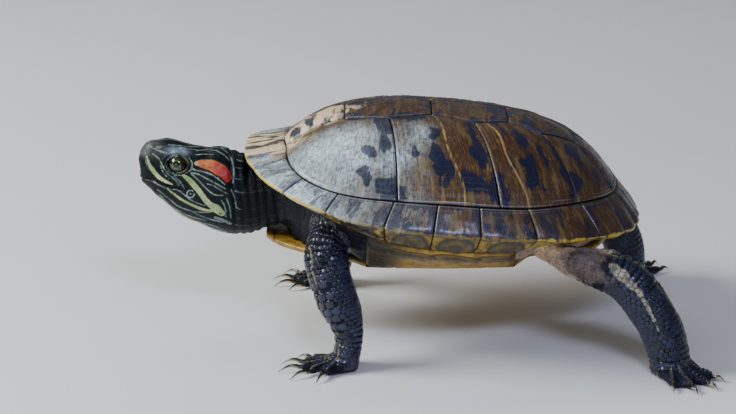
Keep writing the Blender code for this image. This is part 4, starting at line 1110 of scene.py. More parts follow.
# ---- sculpting of the head: each brush is centre, radius, push; mirrored to both sides
BRUSHES = [((-138.5, -6.8, 94.6), 4.6, (0.2, -0.7, 1.5)),    # brow over the eye
           ((-144.5, -3.2, 95.2), 3.2, (0, 0, 0.9)),         # nose bumps
           ((-146.5, 0, 94.5), 4.5, (-0.5, 0, 1.1)),         # top of the snout
           ((-142.5, -6.8, 87.0), 4.0, (0, 0.75, 0)),        # hollow before the eye
           ((-126, -13.0, 86.0), 5.0, (0, 0.5, 0)),          # hollow behind the eye
           ((-112, -16.0, 80.0), 7.0, (0, -0.75, 0)),        # ear drum
           ((-118, -15.0, 70.0), 8.0, (0, -0.7, 0)),         # jaw muscle
           ((-134, -10.5, 71.0), 6.0, (0, 0.9, 0)),          # lower jaw narrows
           ((-128, 0, 95.0), 8.0, (0, 0, -0.35)),            # flat crown
           ((-139, 0, 97.0), 5.0, (0, 0, -0.35)),
           ((-110, -7, 92.0), 6.0, (0, -0.3, 0.35))]
# the face stands more upright, its jaws in one line
P[:, 0] += np.interp(P[:, 2], [60, 66, 70, 73.5, 76, 79, 84, 90, 98], [0, .8, .2, -2.3, -2.8, -2.2, .2, 2.3, 3.0]) * ease(-P[:, 0], 124, 146)
for c, r, push in BRUSHES:
    for side in (1, -1) if c[1] else (1,):
        at, way = np.array([c[0], c[1] * side, c[2]]), np.array([push[0], push[1] * side, push[2]])
        d = np.linalg.norm(P - at, axis=1) / r
        P = P + bell(d, 0.8)[:, None] * way

EYE = np.array([-131.4, -9.1, 88.0])
GAZE = np.array([-0.16, -0.97, 0.17])
GAZE = GAZE / np.linalg.norm(GAZE)
MOUTH = [(-151.5, 0, 78.6), (-150.6, -3.2, 78.5), (-148.8, -5.6, 79.2), (-144, -8.6, 79.3), (-138.4, -10.9, 77.6), (-132.9, -12.6, 76.2), (-129.5, -13.4, 75.8)]
before = BVHTree.FromPolygons([Vector(v) for v in P.tolist()], POLYS)
MOUTH = [tuple(before.find_nearest(Vector(q))[0]) for q in resample(catmull(MOUTH, 4), 26)]
NOSE = {side: np.array(before.find_nearest(Vector((-150.6, -2.1 * side, 89.0)))[0]) for side in (1, -1)}
N = normals()
left = np.stack([P[:, 0], -np.abs(P[:, 1]), P[:, 2]], -1)         # both halves seen as the left one
headward = P[:, 0] < -101
d_mouth = np.full(count, 99.0)
d_mouth[headward] = near(left[headward], MOUTH)[0]
P = P - N * (0.95 * bell(d_mouth, 0.55))[:, None]
P = P + N * (0.30 * bell(d_mouth - 1.3, 0.7))[:, None]
# nostrils
for side in (1, -1):
    d = np.linalg.norm(P - NOSE[side], axis=1)
    P = P - N * (1.0 * bell(d, 0.75) - 0.22 * bell(d - 1.4, 0.5))[:, None]
# creases of the neck and folds round the limb roots
x = P[:, 0] + 0.10 * (P[:, 2] - 72) + 1.1 * (vnoise(P, 7) - 0.5)
crease = np.zeros(count)
for at, deep, wide in ((-103.6, 1.0, 1.0), (-99.6, 0.7, 0.9), (-95.6, 0.85, 1.0), (-91.4, 0.7, 0.9), (-87.2, 0.8, 1.0), (-82.6, 0.9, 1.1), (-78.6, 0.7, 1.0)):
    crease += deep * bell(x - at, wide)
on_neck = ease(-P[:, 0], 74, 80) * (np.hypot(P[:, 1], P[:, 2] - 70) < 30)
P = P - N * (crease * on_neck * 0.75)[:, None]
fold = np.sin(0.75 * (P[:, 0] * 0.8 + np.abs(P[:, 1]) * 0.55 - P[:, 2] * 0.35) + 4.5 * vnoise(P, 12))
soft = ease(P[:, 2], 43, 52) * (1 - ease(-P[:, 0], 78, 86))
P = P + N * (0.42 * fold * soft)[:, None]
P = P + N * (0.30 * (vnoise(P, 3.1) - 0.5) * ease(P[:, 0], -103, -96) + 0.7 * (vnoise(P, 8) - 0.5) * ease(P[:, 0], -100, -80))[:, None]
# wrinkles across the elbow, wrist, knee and ankle
for key, centre, axis in (("fore", 17, (0.1, 0, 1)), ("fore", 56, (0.2, .3, 1)), ("hind", 6, (0.1, 0, 1)), ("hind", 44, (-.7, .2, .7))):
    axis = np.array(axis) / np.linalg.norm(axis)
    zone = bell(P[:, 2] - centre, 7.0) * (np.abs(P[:, 1]) > 40) * ((P[:, 0] < 0) if key == "fore" else (P[:, 0] > 60))
    P = P - N * (0.34 * zone * (0.5 + 0.5 * np.sin((P @ axis) * 2.3 + 3 * vnoise(P, 9))))[:, None]
# eyes: a socket in the skin, lids standing round it, the upper one heavier
lid = np.zeros(count)
for side in (1, -1):
    c, g = EYE * [1, side, 1], GAZE * [1, side, 1]
    rel = P - c
    h = rel @ g
    flat = rel - h[:, None] * g
    upv = np.array([0, 0, 1.0]) - g[2] * g
    upv = upv / np.linalg.norm(upv)
    fwd = np.cross(upv, g)
    u, v = flat @ fwd, flat @ upv
    r = np.hypot(u * 0.88, v * 1.14)
    near_eye = (np.linalg.norm(rel, axis=1) < 12) & (h > -1)
    ring = (1.0 + 0.5 * ease(v, 0, 3)) * bell(r - 4.75, 0.62) + 0.5 * bell(r - 6.5, 0.5) - 0.3 * bell(r - 5.7, 0.35)
    P = P + g * (np.where(near_eye, ring, 0))[:, None]
    drop = np.where(near_eye, 1 - ease(r, 3.95, 4.35), 0)
    target = c + flat * 1.0 + g * 0.6
    P = P * (1 - drop[:, None]) + target * drop[:, None]
    lid = np.maximum(lid, np.where(near_eye, bell(r - 4.7, 0.5), 0))
P[:, 2] = np.maximum(P[:, 2], 0.0)
N = normals()
TREE = BVHTree.FromPolygons([Vector(v) for v in P.tolist()], POLYS)


# ---- markings as distances to named curves
def limb_line(key, word, angle, share0, share1):
    path, rings = LIMBS[key, word]
    n, sides = rings.shape[:2]
    k = (angle / 360.0 * sides) % sides
    i0, f = int(k), k - int(k)
    row = rings[:, i0] * (1 - f) + rings[:, (i0 + 1) % sides] * f
    return row[int(share0 * (n - 1)):int(share1 * (n - 1)) + 1:2]


# lines of the head's side, drawn in the plane of the view: (x, height at the eye's depth), radius
SIDE_GREEN = [([(-128.9, 82.0), (-126.3, 80.1), (-123.7, 77.3), (-120.6, 73.5), (-118.0, 69.6), (-115.3, 66.6), (-112.2, 64.4), (-109.6, 62.0)], [0.7, 1.2, 1.4, 1.4, 1.45, 1.6, 2.3, 1.5]),
              ([(-147.2, 91.8), (-145.6, 87.2), (-143.5, 83.9), (-140.4, 80.6), (-136.7, 78.4), (-134.1, 77.2)], [0.5, 0.85, 1.15, 0.95, 0.65, 0.3]),
              ([(-136.7, 75.0), (-133.1, 71.8), (-129.4, 69.1), (-124.7, 66.6), (-119.5, 64.4), (-114.3, 63.5)], [0.55, 0.75, 0.75, 0.8, 0.85, 0.6])]
SIDE_THIN = [([(-146.1, 97.3), (-141.9, 95.1), (-137.2, 93.5)], 0.45),
             ([(-144.0, 93.2), (-140.9, 90.5), (-138.3, 85.5), (-135.7, 82.2), (-132.6, 79.5), (-131.0, 76.8)], 0.38),
             ([(-140.3, 87.2), (-138.6, 83.3), (-135.9, 80.3)], 0.26),
             ([(-135.9, 84.2), (-133.1, 82.5), (-129.4, 82.1), (-125.8, 84.2), (-123.4, 85.5)], 0.32),
             ([(-123.4, 84.7), (-118.5, 83.8), (-113.3, 81.7), (-108.0, 77.3)], 0.36),
             ([(-124.7, 83.3), (-121.6, 82.7), (-117.4, 80.5), (-112.7, 77.9), (-107.8, 75.0)], 0.36),
             ([(-124.5, 82.5), (-121.6, 79.8), (-118.5, 76.5), (-115.9, 73.9), (-112.7, 71.8), (-109.1, 71.6)], 0.38),
             ([(-116.7, 77.6), (-114.3, 76.9), (-111.2, 75.1), (-107.0, 72.4)], 0.34),
             ([(-109.6, 68.8), (-108.0, 65.3), (-107.8, 60.3)], 0.36),
             ([(-107.3, 70.2), (-105.7, 65.3), (-105.3, 59.8)], 0.36),
             ([(-104.9, 74.6), (-103.1, 69.6), (-102.6, 65.0)], 0.32),
             ([(-112.2, 97.0), (-107.5, 94.3), (-104.7, 89.9), (-103.6, 83.9), (-104.1, 77.9)], 0.42),
             ([(-122.6, 94.7), (-117.4, 95.5), (-112.2, 94.7), (-108.0, 92.1), (-106.0, 89.8)], 0.36),
             ([(-122.6, 92.7), (-118.5, 93.0), (-114.3, 92.8)], 0.3),
             ([(-144.0, 79.0), (-140.4, 76.7), (-136.7, 75.1), (-132.0, 74.5), (-128.9, 72.4), (-125.8, 69.6), (-121.6, 67.4), (-117.4, 66.1)], 0.36),
             ([(-141.9, 74.6), (-136.7, 70.1), (-132.0, 66.1), (-126.8, 63.9), (-121.6, 62.8), (-115.3, 62.8)], 0.42),
             ([(-140.9, 71.8), (-136.2, 66.6), (-130.5, 62.8), (-124.7, 60.2), (-118.5, 58.6)], 0.46),
             ([(-124.7, 63.0), (-120.6, 60.9), (-114.3, 58.7), (-109.6, 57.5)], 0.5),
             ([(-113.0, 59.9), (-109.1, 58.6), (-105.7, 56.8)], 0.85),
             ([(-134.1, 63.1), (-128.9, 59.0), (-121.6, 57.3), (-114.3, 55.7), (-109.1, 53.2)], 0.42),
             ([(-133.1, 81.7), (-130.5, 78.8), (-128.3, 75.4)], 0.32),
             ([(-135.9, 91.0), (-135.8, 86.9), (-133.5, 83.3)], 0.3),
             ([(-126.0, 91.0), (-124.1, 88.3), (-124.7, 85.3)], 0.3),
             ([(-147.8, 93.8), (-147.6, 88.8), (-146.1, 85.0)], 0.3),
             ([(-136.2, 98.0), (-130.5, 97.5), (-124.7, 96.9), (-117.4, 96.7)], 0.3)]
GREENISH = [([(-143, 0, 69.5), (-136, 0, 66.0), (-126, 0, 60), (-114, 0, 54.5), (-104, 0, 50.5)], [.5, .8, .7, .9, .7]),
            ([(-140, -5.5, 68.6), (-130, -7, 62), (-119, -8, 56.8), (-108, -8.6, 52.4)], [.3, .45, .5, .4])]
THIN = [
    ([(-146, 0, 95.6), (-140, 0, 97.4), (-131, 0, 96.2), (-120, 0, 94.2), (-108, 0, 91.8)], .30),
    ([(-130.5, -5.2, 95.2), (-122, -4.4, 94.2), (-112, -3.4, 92.8)], .30)]
# curl behind the jaw's corner
CURL = [(-125.2 + 1.9 * math.cos(t), 72.3 + 1.9 * math.sin(t)) for t in np.linspace(0.8, 6.4, 14)]
SIDE_THIN.append((CURL, .32))
SIDE_THIN.append(([(-125.4, 72.4), (-125.0, 72.2)], .40))
# neck lines run back from the head to the shell, closer set below
for k, degrees in enumerate((8, 24, 38, 52, 68, 86, 108, 126, 142, 156, 170)):
    rows = []
    for st in catmull([h for h in HEAD if -114 < h[0] < -60], 3):
        a = math.radians(degrees - 90 + 3.0 * math.sin(st[0] / 5.0 + k))
        ca = math.copysign(abs(math.cos(a)) ** (2 / 2.25), math.cos(a))
        sa = math.copysign(abs(math.sin(a)) ** (2 / 2.25), math.sin(a))
        if st[0] > -105:
            rows.append((st[0], -abs(ca) * st[3], st[2] - sa * st[4] * -1))
    THIN.append((rows, .34 + 0.16 * (k % 3 == 0) + 0.25 * (degrees < 40)))
REDS = ([(-122.4, -10.8, 88.9), (-120.0, -10.9, 88.9), (-116.8, -11.2, 88.4), (-113.6, -11.8, 87.4), (-110.8, -12.6, 85.9), (-108.4, -13.0, 84.2), (-107.0, -13.6, 81.8)],
        [.9, 1.9, 2.6, 3.0, 3.2, 2.9, 2.2])


def on_surface(line, radii, step=0.8):
    """The same line laid on the skin, closely spaced, with its radii."""
    line = np.array(line, float)
    length = np.linalg.norm(np.diff(line, axis=0), axis=1).sum()
    n = max(3, int(length / step))
    radii = np.full(len(line), radii) if np.isscalar(radii) else np.array(radii, float)
    rows = resample(catmull(np.hstack([line, radii[:, None]]), 4), n)
    return np.array([np.array(TREE.find_nearest(Vector(q[:3]))[0]) for q in rows]), rows[:, 3]


def cast(line, radii, step=0.7):
    """A line drawn in the plane of the view, laid on the head's left side."""
    line = np.array(line, float)
    length = np.linalg.norm(np.diff(line, axis=0), axis=1).sum()
    radii = np.full(len(line), radii) if np.isscalar(radii) else np.array(radii, float)
    rows = resample(catmull(np.hstack([line, radii[:, None]]), 4), max(3, int(length / step)))
    hits, wide = [], []
    for x, h, r in rows:
        loc = TREE.ray_cast(Vector((x, -60.0, h + 15.6)), Vector((0, 0.9563, -0.2924)))[0]
        if loc is not None:
            hits.append(loc)
            wide.append(r)
    return np.array(hits), np.array(wide)


def field(p, line, radii):
    """Largest radius minus distance, in mm, reckoned only near the line."""
    out = np.full(len(p), -9.0)
    share = np.zeros(len(p))
    low, high = line.min(0) - 4.5, line.max(0) + 4.5
    close = ((p > low) & (p < high)).all(1)
    if close.any():
        d, t = near(p[close], line, radii)
        out[close], share[close] = -d, t
    return out, share


def marks(p):
    """Stripe fields in mm (positive inside) and pale zones for points of the skin."""
    n = len(p)
    q = np.stack([p[:, 0], -np.abs(p[:, 1]), p[:, 2]], -1)
    green, thin, red, red_t = (np.full(n, -9.0) for _ in range(4))
    red_t[:] = 0
    head = p[:, 0] < -58
    h = q[head]
    if len(h):
        g = np.full(len(h), -9.0)
        for line, radii in GREEN_ON:
            g = np.maximum(g, field(h, line, radii)[0])
        t = np.full(len(h), -9.0)
        for line, radii in THIN_ON:
            t = np.maximum(t, field(h, line, radii)[0])
        r, share = field(h, *RED_ON)
        green[head], thin[head], red[head], red_t[head] = g, t, r, share
    leg = np.full(n, -9.0)
    cream = np.full(n, -9.0)
    for word, side in (("left", 1), ("right", -1)):
        zone = (~head | (p[:, 0] > -75)) & (p[:, 1] * side < 0)
        z = p[zone]
        if not len(z):
            continue
        best = leg[zone]
        for key, angle, s0, s1, rad in (("fore", 62, .30, .98, .55), ("fore", 96, .25, .9, .45), ("fore", 128, .35, .9, .5),
                                        ("hind", 60, .35, .95, .5), ("hind", 96, .3, .95, .55), ("hind", 24, .4, .9, .5)):
            best = np.maximum(best, field(z, *on_surface(limb_line(key, word, angle, s0, s1), rad, 1.5))[0])
        for key in ("fore", "hind"):
            for p0, p1, d, *_ in LIMBS["digits", key, word]:
                best = np.maximum(best, field(z, *on_surface([p0 + [0, 0, 2.8], p1 + [0, 0, 2.0]], 0.5, 1.2))[0])
        leg[zone] = best
        c = cream[zone]
        off = np.array([0, 0, 0]) if side == 1 else np.array([-4.0, 0, 0])
        for line, radii in CREAM:
            c = np.maximum(c, field(z, *on_surface(flip(line, side) + off, radii, 1.2))[0])
        cream[zone] = c
    x, y, z = p[:, 0], np.abs(p[:, 1]), p[:, 2]
    wob = (vnoise(p, 6) - 0.5) * 9 + (vnoise(p + 30, 2.5) - 0.5) * 5
    pale = ease(x + wob, 22, 34) * (1 - ease(x + wob, 74, 86)) * ease(z + wob * 0.5, 40, 47)
    pale = pale * (1 - 0.6 * ease(y, 58, 66))
    return {"green": green, "thin": thin, "red": red, "red_t": red_t, "leg": leg, "cream": cream,
            "pale": np.clip(pale, 0, 1)}


CREAM = [([(79.0, -71.5, 56.0), (83.5, -73.5, 52.5), (88, -75.0, 48.0), (92.5, -75.4, 42.5), (96.5, -75.6, 36), (100, -76, 29), (102.5, -76.6, 22.5)],
          [1.6, 2.7, 2.2, 1.3, 0.9, 0.6, 0.3])]


def skin_look(name, scaled=False):
    """Dark skin with its stripes; the scales that stand on it share the markings."""
    m = Look(name, 0.42, Coat_Weight=0.32 if scaled else 0.05, Coat_Roughness=0.18, Specular_IOR_Level=0.28 if scaled else 0.14)
    m.p.inputs["Subsurface Weight"].default_value = 0.0
    mottle = m.noise(150.0, 4, 0.6)
    grit = m.noise(1100.0, 3, 0.6)
    big = m.noise(46.0, 2, 0.5)
    cells = m.cells(560.0, "F1")
    cell_edge = m.cells(560.0, "DISTANCE_TO_EDGE")
    head = m.attr("head")
    dark = m.mix(m.step(mottle, 0.35, 0.65), (0.0028, 0.0038, 0.0110), (0.0100, 0.0122, 0.0320))
    headdark = m.mix(m.step(mottle, 0.35, 0.65), (0.0018, 0.0032, 0.0042), (0.0050, 0.0095, 0.0100))
    colour = m.mix(head, dark, headdark)
    colour = m.mix(m.mul(m.step(big, 0.52, 0.68), 0.22, m.inv(head), m.inv(m.attr("shade"))), colour, (0.036, 0.036, 0.048))
    # greenish clouds on the black skin of the shoulder
    colour = m.mix(m.mul(m.attr("shade"), m.step(m.add(m.mul(mottle, 0.7), m.mul(big, 0.3)), 0.56, 0.66), 0.42), colour, (0.060, 0.058, 0.010))
    # painted shade: near-black skin on the neck and between the shell and the foreleg
    colour = m.mix(m.mul(m.attr("shade"), m.step(m.noise(90.0, 3, 0.6), 0.30, 0.62, 0.88, 0.55)), colour, (0.0009, 0.0012, 0.0014))
    # pale soft skin between the shell and the hind legs, clouded grey
    cloud = m.step(m.add(m.mul(mottle, 0.6), m.mul(big, 0.4)), 0.40, 0.60)
    cream = m.mix(cloud, (0.76, 0.53, 0.320), (0.360, 0.255, 0.205))
    cream = m.mix(m.mul(m.step(m.noise(330.0, 3, 0.6), 0.52, 0.66), 0.50), cream, (0.100, 0.078, 0.088))
    colour = m.mix(m.step(m.add(m.attr("pale"), m.mul(mottle, 0.5), -0.25), 0.25, 0.75), colour, cream)
    ragged = m.add(m.mul(m.noise(900.0, 2, 0.5), 0.55), -0.275)
    # thin lines, dimmed where shade is painted on the neck
    thin = m.step(m.add(m.attr("thin"), m.mul(ragged, 1.3)), -0.12, 0.14)
    thin = m.mul(thin, m.step(m.noise(210.0, 3, 0.6), 0.34, 0.60, 0.42, 1.0), m.inv(m.mul(m.attr("shade"), 0.90)))
    colour = m.mix(thin, colour, m.mix(m.step(mottle, 0.40, 0.60), (0.140, 0.190, 0.200), (0.24, 0.30, 0.24)))
    leg = m.mul(m.step(m.add(m.attr("leg"), m.mul(ragged, 1.5)), -0.15, 0.2), m.step(m.noise(120.0, 2, 0.5), 0.34, 0.5))
    colour = m.mix(m.mul(leg, 0.55), colour, (0.42, 0.35, 0.09))
    # the wide stripes, with a darker edge line and black specks
    g = m.add(m.attr("green"), ragged)
    colour = m.mix(m.mul(m.step(g, -0.62, -0.15), 0.8), colour, (0.0035, 0.005, 0.005))
    tone = m.mix(m.step(mottle, 0.36, 0.64), (0.220, 0.290, 0.105), (0.46, 0.50, 0.27))
    specks = m.step(m.noise(520.0, 2, 0.5), 0.66, 0.72)
    colour = m.mix(m.step(g, -0.12, 0.16), colour, m.mix(m.mul(specks, 0.9), tone, (0.02, 0.025, 0.02)))
    # red patch behind the eye: cream tip, orange, pink, dark red
    r = m.add(m.attr("red"), m.mul(ragged, 1.2))
    t = m.add(m.attr("red_t"), m.mul(mottle, 0.30), -0.15)
    tone = m.mix(m.step(t, 0.02, 0.14), (0.52, 0.36, 0.22), (0.50, 0.150, 0.045))
    tone = m.mix(m.step(t, 0.28, 0.52), tone, (0.44, 0.085, 0.045))
    tone = m.mix(m.step(t, 0.55, 0.86), tone, (0.34, 0.020, 0.016))
    tone = m.mix(m.mul(m.step(m.noise(420.0, 3, 0.6), 0.48, 0.66), 0.60), tone, (0.135, 0.030, 0.022))
    colour = m.mix(m.mul(m.step(r, -0.75, -0.2), 0.85), colour, (0.004, 0.005, 0.005))
    colour = m.mix(m.step(r, -0.15, 0.15), colour, tone)
    # cream to yellow stripe down the hind leg
    c = m.add(m.attr("cream"), m.mul(m.noise(300.0, 3, 0.6), 3.2), -1.6)
    colour = m.mix(m.mul(m.step(c, -0.3, 0.5), m.step(mottle, 0.34, 0.56, 0.45, 0.88)), colour, (0.40, 0.36, 0.255))
    # lids, mouth, a painted highlight on the snout's top and one on the brow
    colour = m.mix(m.mul(m.attr("lid"), m.step(mottle, 0.42, 0.58), 0.55), colour, (0.24, 0.30, 0.12))
    colour = m.mix(m.mul(m.step(m.attr("mouth"), 0.55, 0.15), 0.92), colour, (0.002, 0.002, 0.002))
    colour = m.mix(m.mul(m.attr("snout_highlight"), m.step(mottle, 0.3, 0.6, 0.25, 0.7)), colour, (0.150, 0.155, 0.135))
    # painted highlight: pale blue-white glare on the brow over each eye
    colour = m.mix(m.mul(m.attr("brow_highlight"), m.step(mottle, 0.36, 0.60, 0.35, 1.0)), colour, (0.50, 0.60, 0.66))
    if scaled:
        rimmed = m.attr("rimmed")
        colour = m.mix(m.mul(m.step(rimmed, 0.55, 0.95), 0.75), colour, (0.003, 0.004, 0.006))
        colour = m.mix(m.mul(m.attr("tint"), m.inv(m.step(rimmed, 0.2, 0.8)), 0.32), colour, (0.044, 0.054, 0.135))
        height = m.add(m.mul(grit, 0.5), m.mul(m.noise(500.0, 2, 0.5), 0.5))
        return m.done(colour, m.bump(height, 0.35, 0.00022), m.step(mottle, 0.3, 0.7, 0.24, 0.44))
    pebble = m.step(cell_edge, 0.0, 0.16)
    height = m.add(m.mul(pebble, m.mix(head, (0.85, 0.85, 0.85), (0.16, 0.16, 0.16))), m.mul(grit, 0.30), m.mul(cells, -0.25))
    colour = m.mix(m.mul(m.inv(m.step(cell_edge, 0.0, 0.09)), m.inv(head), 0.6), colour, (0.004, 0.004, 0.006))
    return m.done(colour, m.bump(height, 0.55, 0.00040), m.add(m.step(m.add(m.mul(mottle, 0.5), m.mul(grit, 0.5)), 0.35, 0.65, 0.30, 0.50), m.mul(m.inv(head), 0.16)))


GREEN_ON = [on_surface(line, radii) for line, radii in GREENISH] + [cast(line, radii) for line, radii in SIDE_GREEN]
THIN_ON = [on_surface(line, radii) for line, radii in THIN] + [cast(line, radii) for line, radii in SIDE_THIN]
GREEN_ON = [pair for pair in GREEN_ON if len(pair[0]) > 1]
THIN_ON = [pair for pair in THIN_ON if len(pair[0]) > 1]
RED_ON = on_surface(REDS[0], REDS[1])
SKIN = skin_look("slider_skin")
SCALE = skin_look("slider_scales", True)

found = marks(P)
found["lid"] = lid
found["mouth"] = d_mouth
found["head"] = ease(-P[:, 0], 90, 104)


def painted_shade_of(p):
    """Painted shade: 1 on the neck behind the head and on the skin between the shell's edge and the foreleg, where
    shade falls under the shell.
    """
    neck = ease(-p[:, 0], 60, 70) * (1 - ease(-p[:, 0] + 0.25 * (p[:, 2] - 70), 97, 104))
    return np.clip(np.maximum(neck, ease(p[:, 2], 52, 60) * ease(-p[:, 0], 20, 34) * (1 - ease(-p[:, 0], 97, 103))), 0, 1)


# painted highlight on the brow over each eye
def brow_highlight_of(p):
    d = np.linalg.norm((np.stack([p[:, 0], -np.abs(p[:, 1]), p[:, 2]], -1) - [-131.6, -8.4, 94.4]) / [5.0, 3.4, 2.3], axis=1)
    return bell(d, 0.9)


found["shade"] = painted_shade_of(P)
found["brow_highlight"] = brow_highlight_of(P)
# painted highlight on the top front of the snout
snout_highlight = ease(-P[:, 0], 138, 147) * ease(P[:, 2], 88, 93)
found["snout_highlight"] = np.clip(snout_highlight * 0.75, 0, 1)
skin.vertices.foreach_set("co", put(P).astype(np.float32).ravel())
for key, values in found.items():
    a = skin.attributes.new(key, "FLOAT", "POINT")
    a.data.foreach_set("value", np.asarray(values, np.float32))
skin.shade_smooth()
skin.update()
skin.materials.clear()
skin.materials.append(SKIN)
skin.name = "skin"
body = bpy.data.objects.new("skin", skin)
bpy.context.scene.collection.objects.link(body)
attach(body, "root")
FLESH_NODES = [n for n in NODES if n.split("_")[0] in ("head", "lower", "neck", "trunk", "tail", "upper", "forearm", "hand", "thigh", "shank", "foot")]
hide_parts(*FLESH_NODES)

# ------------------------------------------------------------------ scales on the limbs
SIDES = 10
UNIT = [(math.cos(2 * math.pi * k / SIDES), math.sin(2 * math.pi * k / SIDES)) for k in range(SIDES)]


def scale_rows(items):
    """Joined domed scales. Item: centre, normal, way down the limb, half length, half width, height, bend, unrolled place."""
    pts, faces, rimmed, tint, uv = [], [], [], [], []
    for index, (c, n, t, hl, hw, high, bend, home) in enumerate(items):
        t = t - n * (t @ n)
        t = t / max(np.linalg.norm(t), 1e-6)
        b = np.cross(n, t)
        base = len(pts)
        shade = LATTICE[(index * 7) % 48, (index * 13) % 48, (index * 29) % 48]
        for share, lift, edge in ((0.0, 1.0, 0), (0.55, 0.97, .25), (0.86, 0.74, .7), (0.99, 0.15, 1), (1.0, -0.75, 1)):
            for ux, uy in UNIT if share else ((0, 0),):
                # squarish outline, its far edge lifted over the next row
                k = (abs(ux) ** 3.2 + abs(uy) ** 3.2) ** (-1 / 3.2) if share else 1
                lx, ly = ux * k * share * hl, uy * k * share * hw
                h = high * (lift + 0.35 * (lx / hl)) - ly * ly * bend
                pts.append(c + t * lx + b * ly + n * h)
                rimmed.append(edge)
                tint.append(shade)
                grown = share if share < 1 else 1.04
                uv.append((home[0] + 0.0014 * ux * k * grown, home[1] + 0.0014 * uy * k * grown))
        for q in range(SIDES):
            faces.append([base, base + 1 + q, base + 1 + (q + 1) % SIDES])
        for ring in range(3):
            o = base + 1 + ring * SIDES
            for q in range(SIDES):
                r = (q + 1) % SIDES
                faces.append([o + q, o + SIDES + q, o + SIDES + r, o + r])
        o = base + 1 + 3 * SIDES
        faces.append([o + q for q in range(SIDES - 1, -1, -1)])
    return np.array(pts), faces, np.array(rimmed), np.array(tint), np.array(uv)


def on_skin(p):
    loc, n, _, _ = TREE.find_nearest(Vector(p))
    return np.array(loc), np.array(n)


def limb_scales(key, word, side):
    path, rings = LIMBS[key, word]
    centre = rings.mean(1)
    step = np.r_[0, np.cumsum(np.linalg.norm(np.diff(centre, axis=0), axis=1))]
    sides = rings.shape[1]
    items = []
    begin = 14.0 if key == "fore" else 40.0
    gap = 2.35 if key == "fore" else 2.55
    s, row = begin, 0
    while s < step[-1] - 0.5:
        f = np.interp(s, step, np.arange(len(step)))
        i = min(int(f), len(step) - 2)
        ring = rings[i] * (1 - (f - i)) + rings[i + 1] * (f - i)
        down = centre[i + 1] - centre[i]
        down = down / np.linalg.norm(down)
        girth = np.linalg.norm(ring - np.roll(ring, 1, 0), axis=1).sum()
        many = max(8, int(round(girth / (gap * 1.12))))
        for k in range(many):
            a = ((k + 0.5 * (row % 2)) / many) % 1.0
            deg = a * 360
            zz = ring[:, 2].mean()
            if key == "fore" and 22 < deg < 150 and 15 < zz < 44:
                continue                            # the broad plates go there
            if key == "hind" and zz > 30 and 100 < deg < 230 and s < 52:
                continue
            q = a * sides
            j = int(q) % sides
            p = ring[j] * (1 - (q - int(q))) + ring[(j + 1) % sides] * (q - int(q))
            if p[2] < 1.6:
                continue
            loc, n = on_skin(p)
            wob = 0.82 + 0.36 * LATTICE[(row * 5) % 48, (k * 3) % 48, 7]
            items.append((loc, n, down, gap * 0.58 * wob, gap * 0.64 * wob, 0.30 * wob, 0.045,
                          (0.02 + 0.96 * a, 0.03 + 0.74 * s / step[-1])))
        s += gap * 0.92
        row += 1
    if key == "fore":
        # broad cross plates on the front and outer face of the forearm
        for r, zz in enumerate(np.arange(43, 14, -3.9)):
            i = int(np.argmin(np.abs(centre[:, 2] - zz)))
            ring = rings[i]
            down = centre[min(i + 1, len(centre) - 1)] - centre[max(i - 1, 0)]
            down = down / np.linalg.norm(down)
            wide = 30.0
            for k in range(4 + r % 2):
                deg = (40 if r % 2 == 0 else 28) + wide * k
                q = (deg / 360 * sides) % sides
                j = int(q)
                p = ring[j] * (1 - (q - j)) + ring[(j + 1) % sides] * (q - j)
                loc, n = on_skin(p)
                items.append((loc, n, down, 2.25, 2.55, 0.62, 0.05, (0.02 + 0.96 * deg / 360, 0.03 + 0.74 * step[i] / step[-1])))
    for which, (p0, p1, d, *_) in enumerate(LIMBS["digits", key, word]):
        for k in range(7):
            t = (k + 0.2) / 6.6
            p = p0 + (p1 - p0) * t
            loc, n = on_skin(p + np.array([0, 0, 3.6]))
            if n[2] > 0.3:
                items.append((loc, n, d, 1.25 - 0.04 * k, 1.65 - 0.07 * k, 0.36, 0.14, (0.10 + 0.18 * which, 0.83 + 0.13 * t)))
    pts, faces, rimmed, tint, uv = scale_rows(items)
    pts[:, 2] = np.maximum(pts[:, 2], 0.02)
    att = marks(pts)
    att.update({"rimmed": rimmed, "tint": tint, "lid": 0 * tint, "mouth": 0 * tint + 9, "head": 0 * tint, "snout_highlight": 0 * tint,
                "shade": painted_shade_of(pts), "brow_highlight": 0 * tint})
    made = piece(f"scales_{key}_{word}", pts, faces, SCALE, att, ())
    # bake map: every scale is a small patch at its root's place on the unrolled limb
    corner = np.zeros(len(made.data.loops), np.int32)
    made.data.loops.foreach_get("vertex_index", corner)
    made.data.uv_layers.new(name="OFBake").data.foreach_set("uv", uv[corner].astype(np.float32).ravel())


for side, word in ((1, "left"), (-1, "right")):
    for key in ("fore", "hind"):
        limb_scales(key, word, side)

# ------------------------------------------------------------------ eyes


def eye_look():
    m = Look("slider_eye", 0.12, Coat_Weight=0.45, Coat_Roughness=0.04, Specular_IOR_Level=0.45)
    r, v, u = m.attr("er"), m.attr("ev"), m.attr("eu")      # radius from the gaze, upright and level offsets
    speck = m.noise(2400.0, 3, 0.6)
    iris = m.mix(m.step(speck, 0.42, 0.62), (0.008, 0.011, 0.004), (0.040, 0.048, 0.014))
    iris = m.mix(m.step(r, 0.58, 0.84), iris, (0.006, 0.008, 0.005))
    bar = m.mul(m.step(m.math("ABSOLUTE", v), 0.30, 0.17), m.step(m.math("ABSOLUTE", u), 0.15, 0.34))
    colour = m.mix(m.mul(bar, 0.95), iris, (0.004, 0.005, 0.004))
    colour = m.mix(m.mul(m.step(r, 0.33, 0.38), m.inv(m.step(r, 0.40, 0.47)), 0.55), colour, (0.20, 0.23, 0.06))
    colour = m.mix(m.step(r, 0.34, 0.29), colour, (0.0015, 0.0018, 0.002))
    return m.done(colour, None, m.step(speck, 0.3, 0.7, 0.05, 0.10))


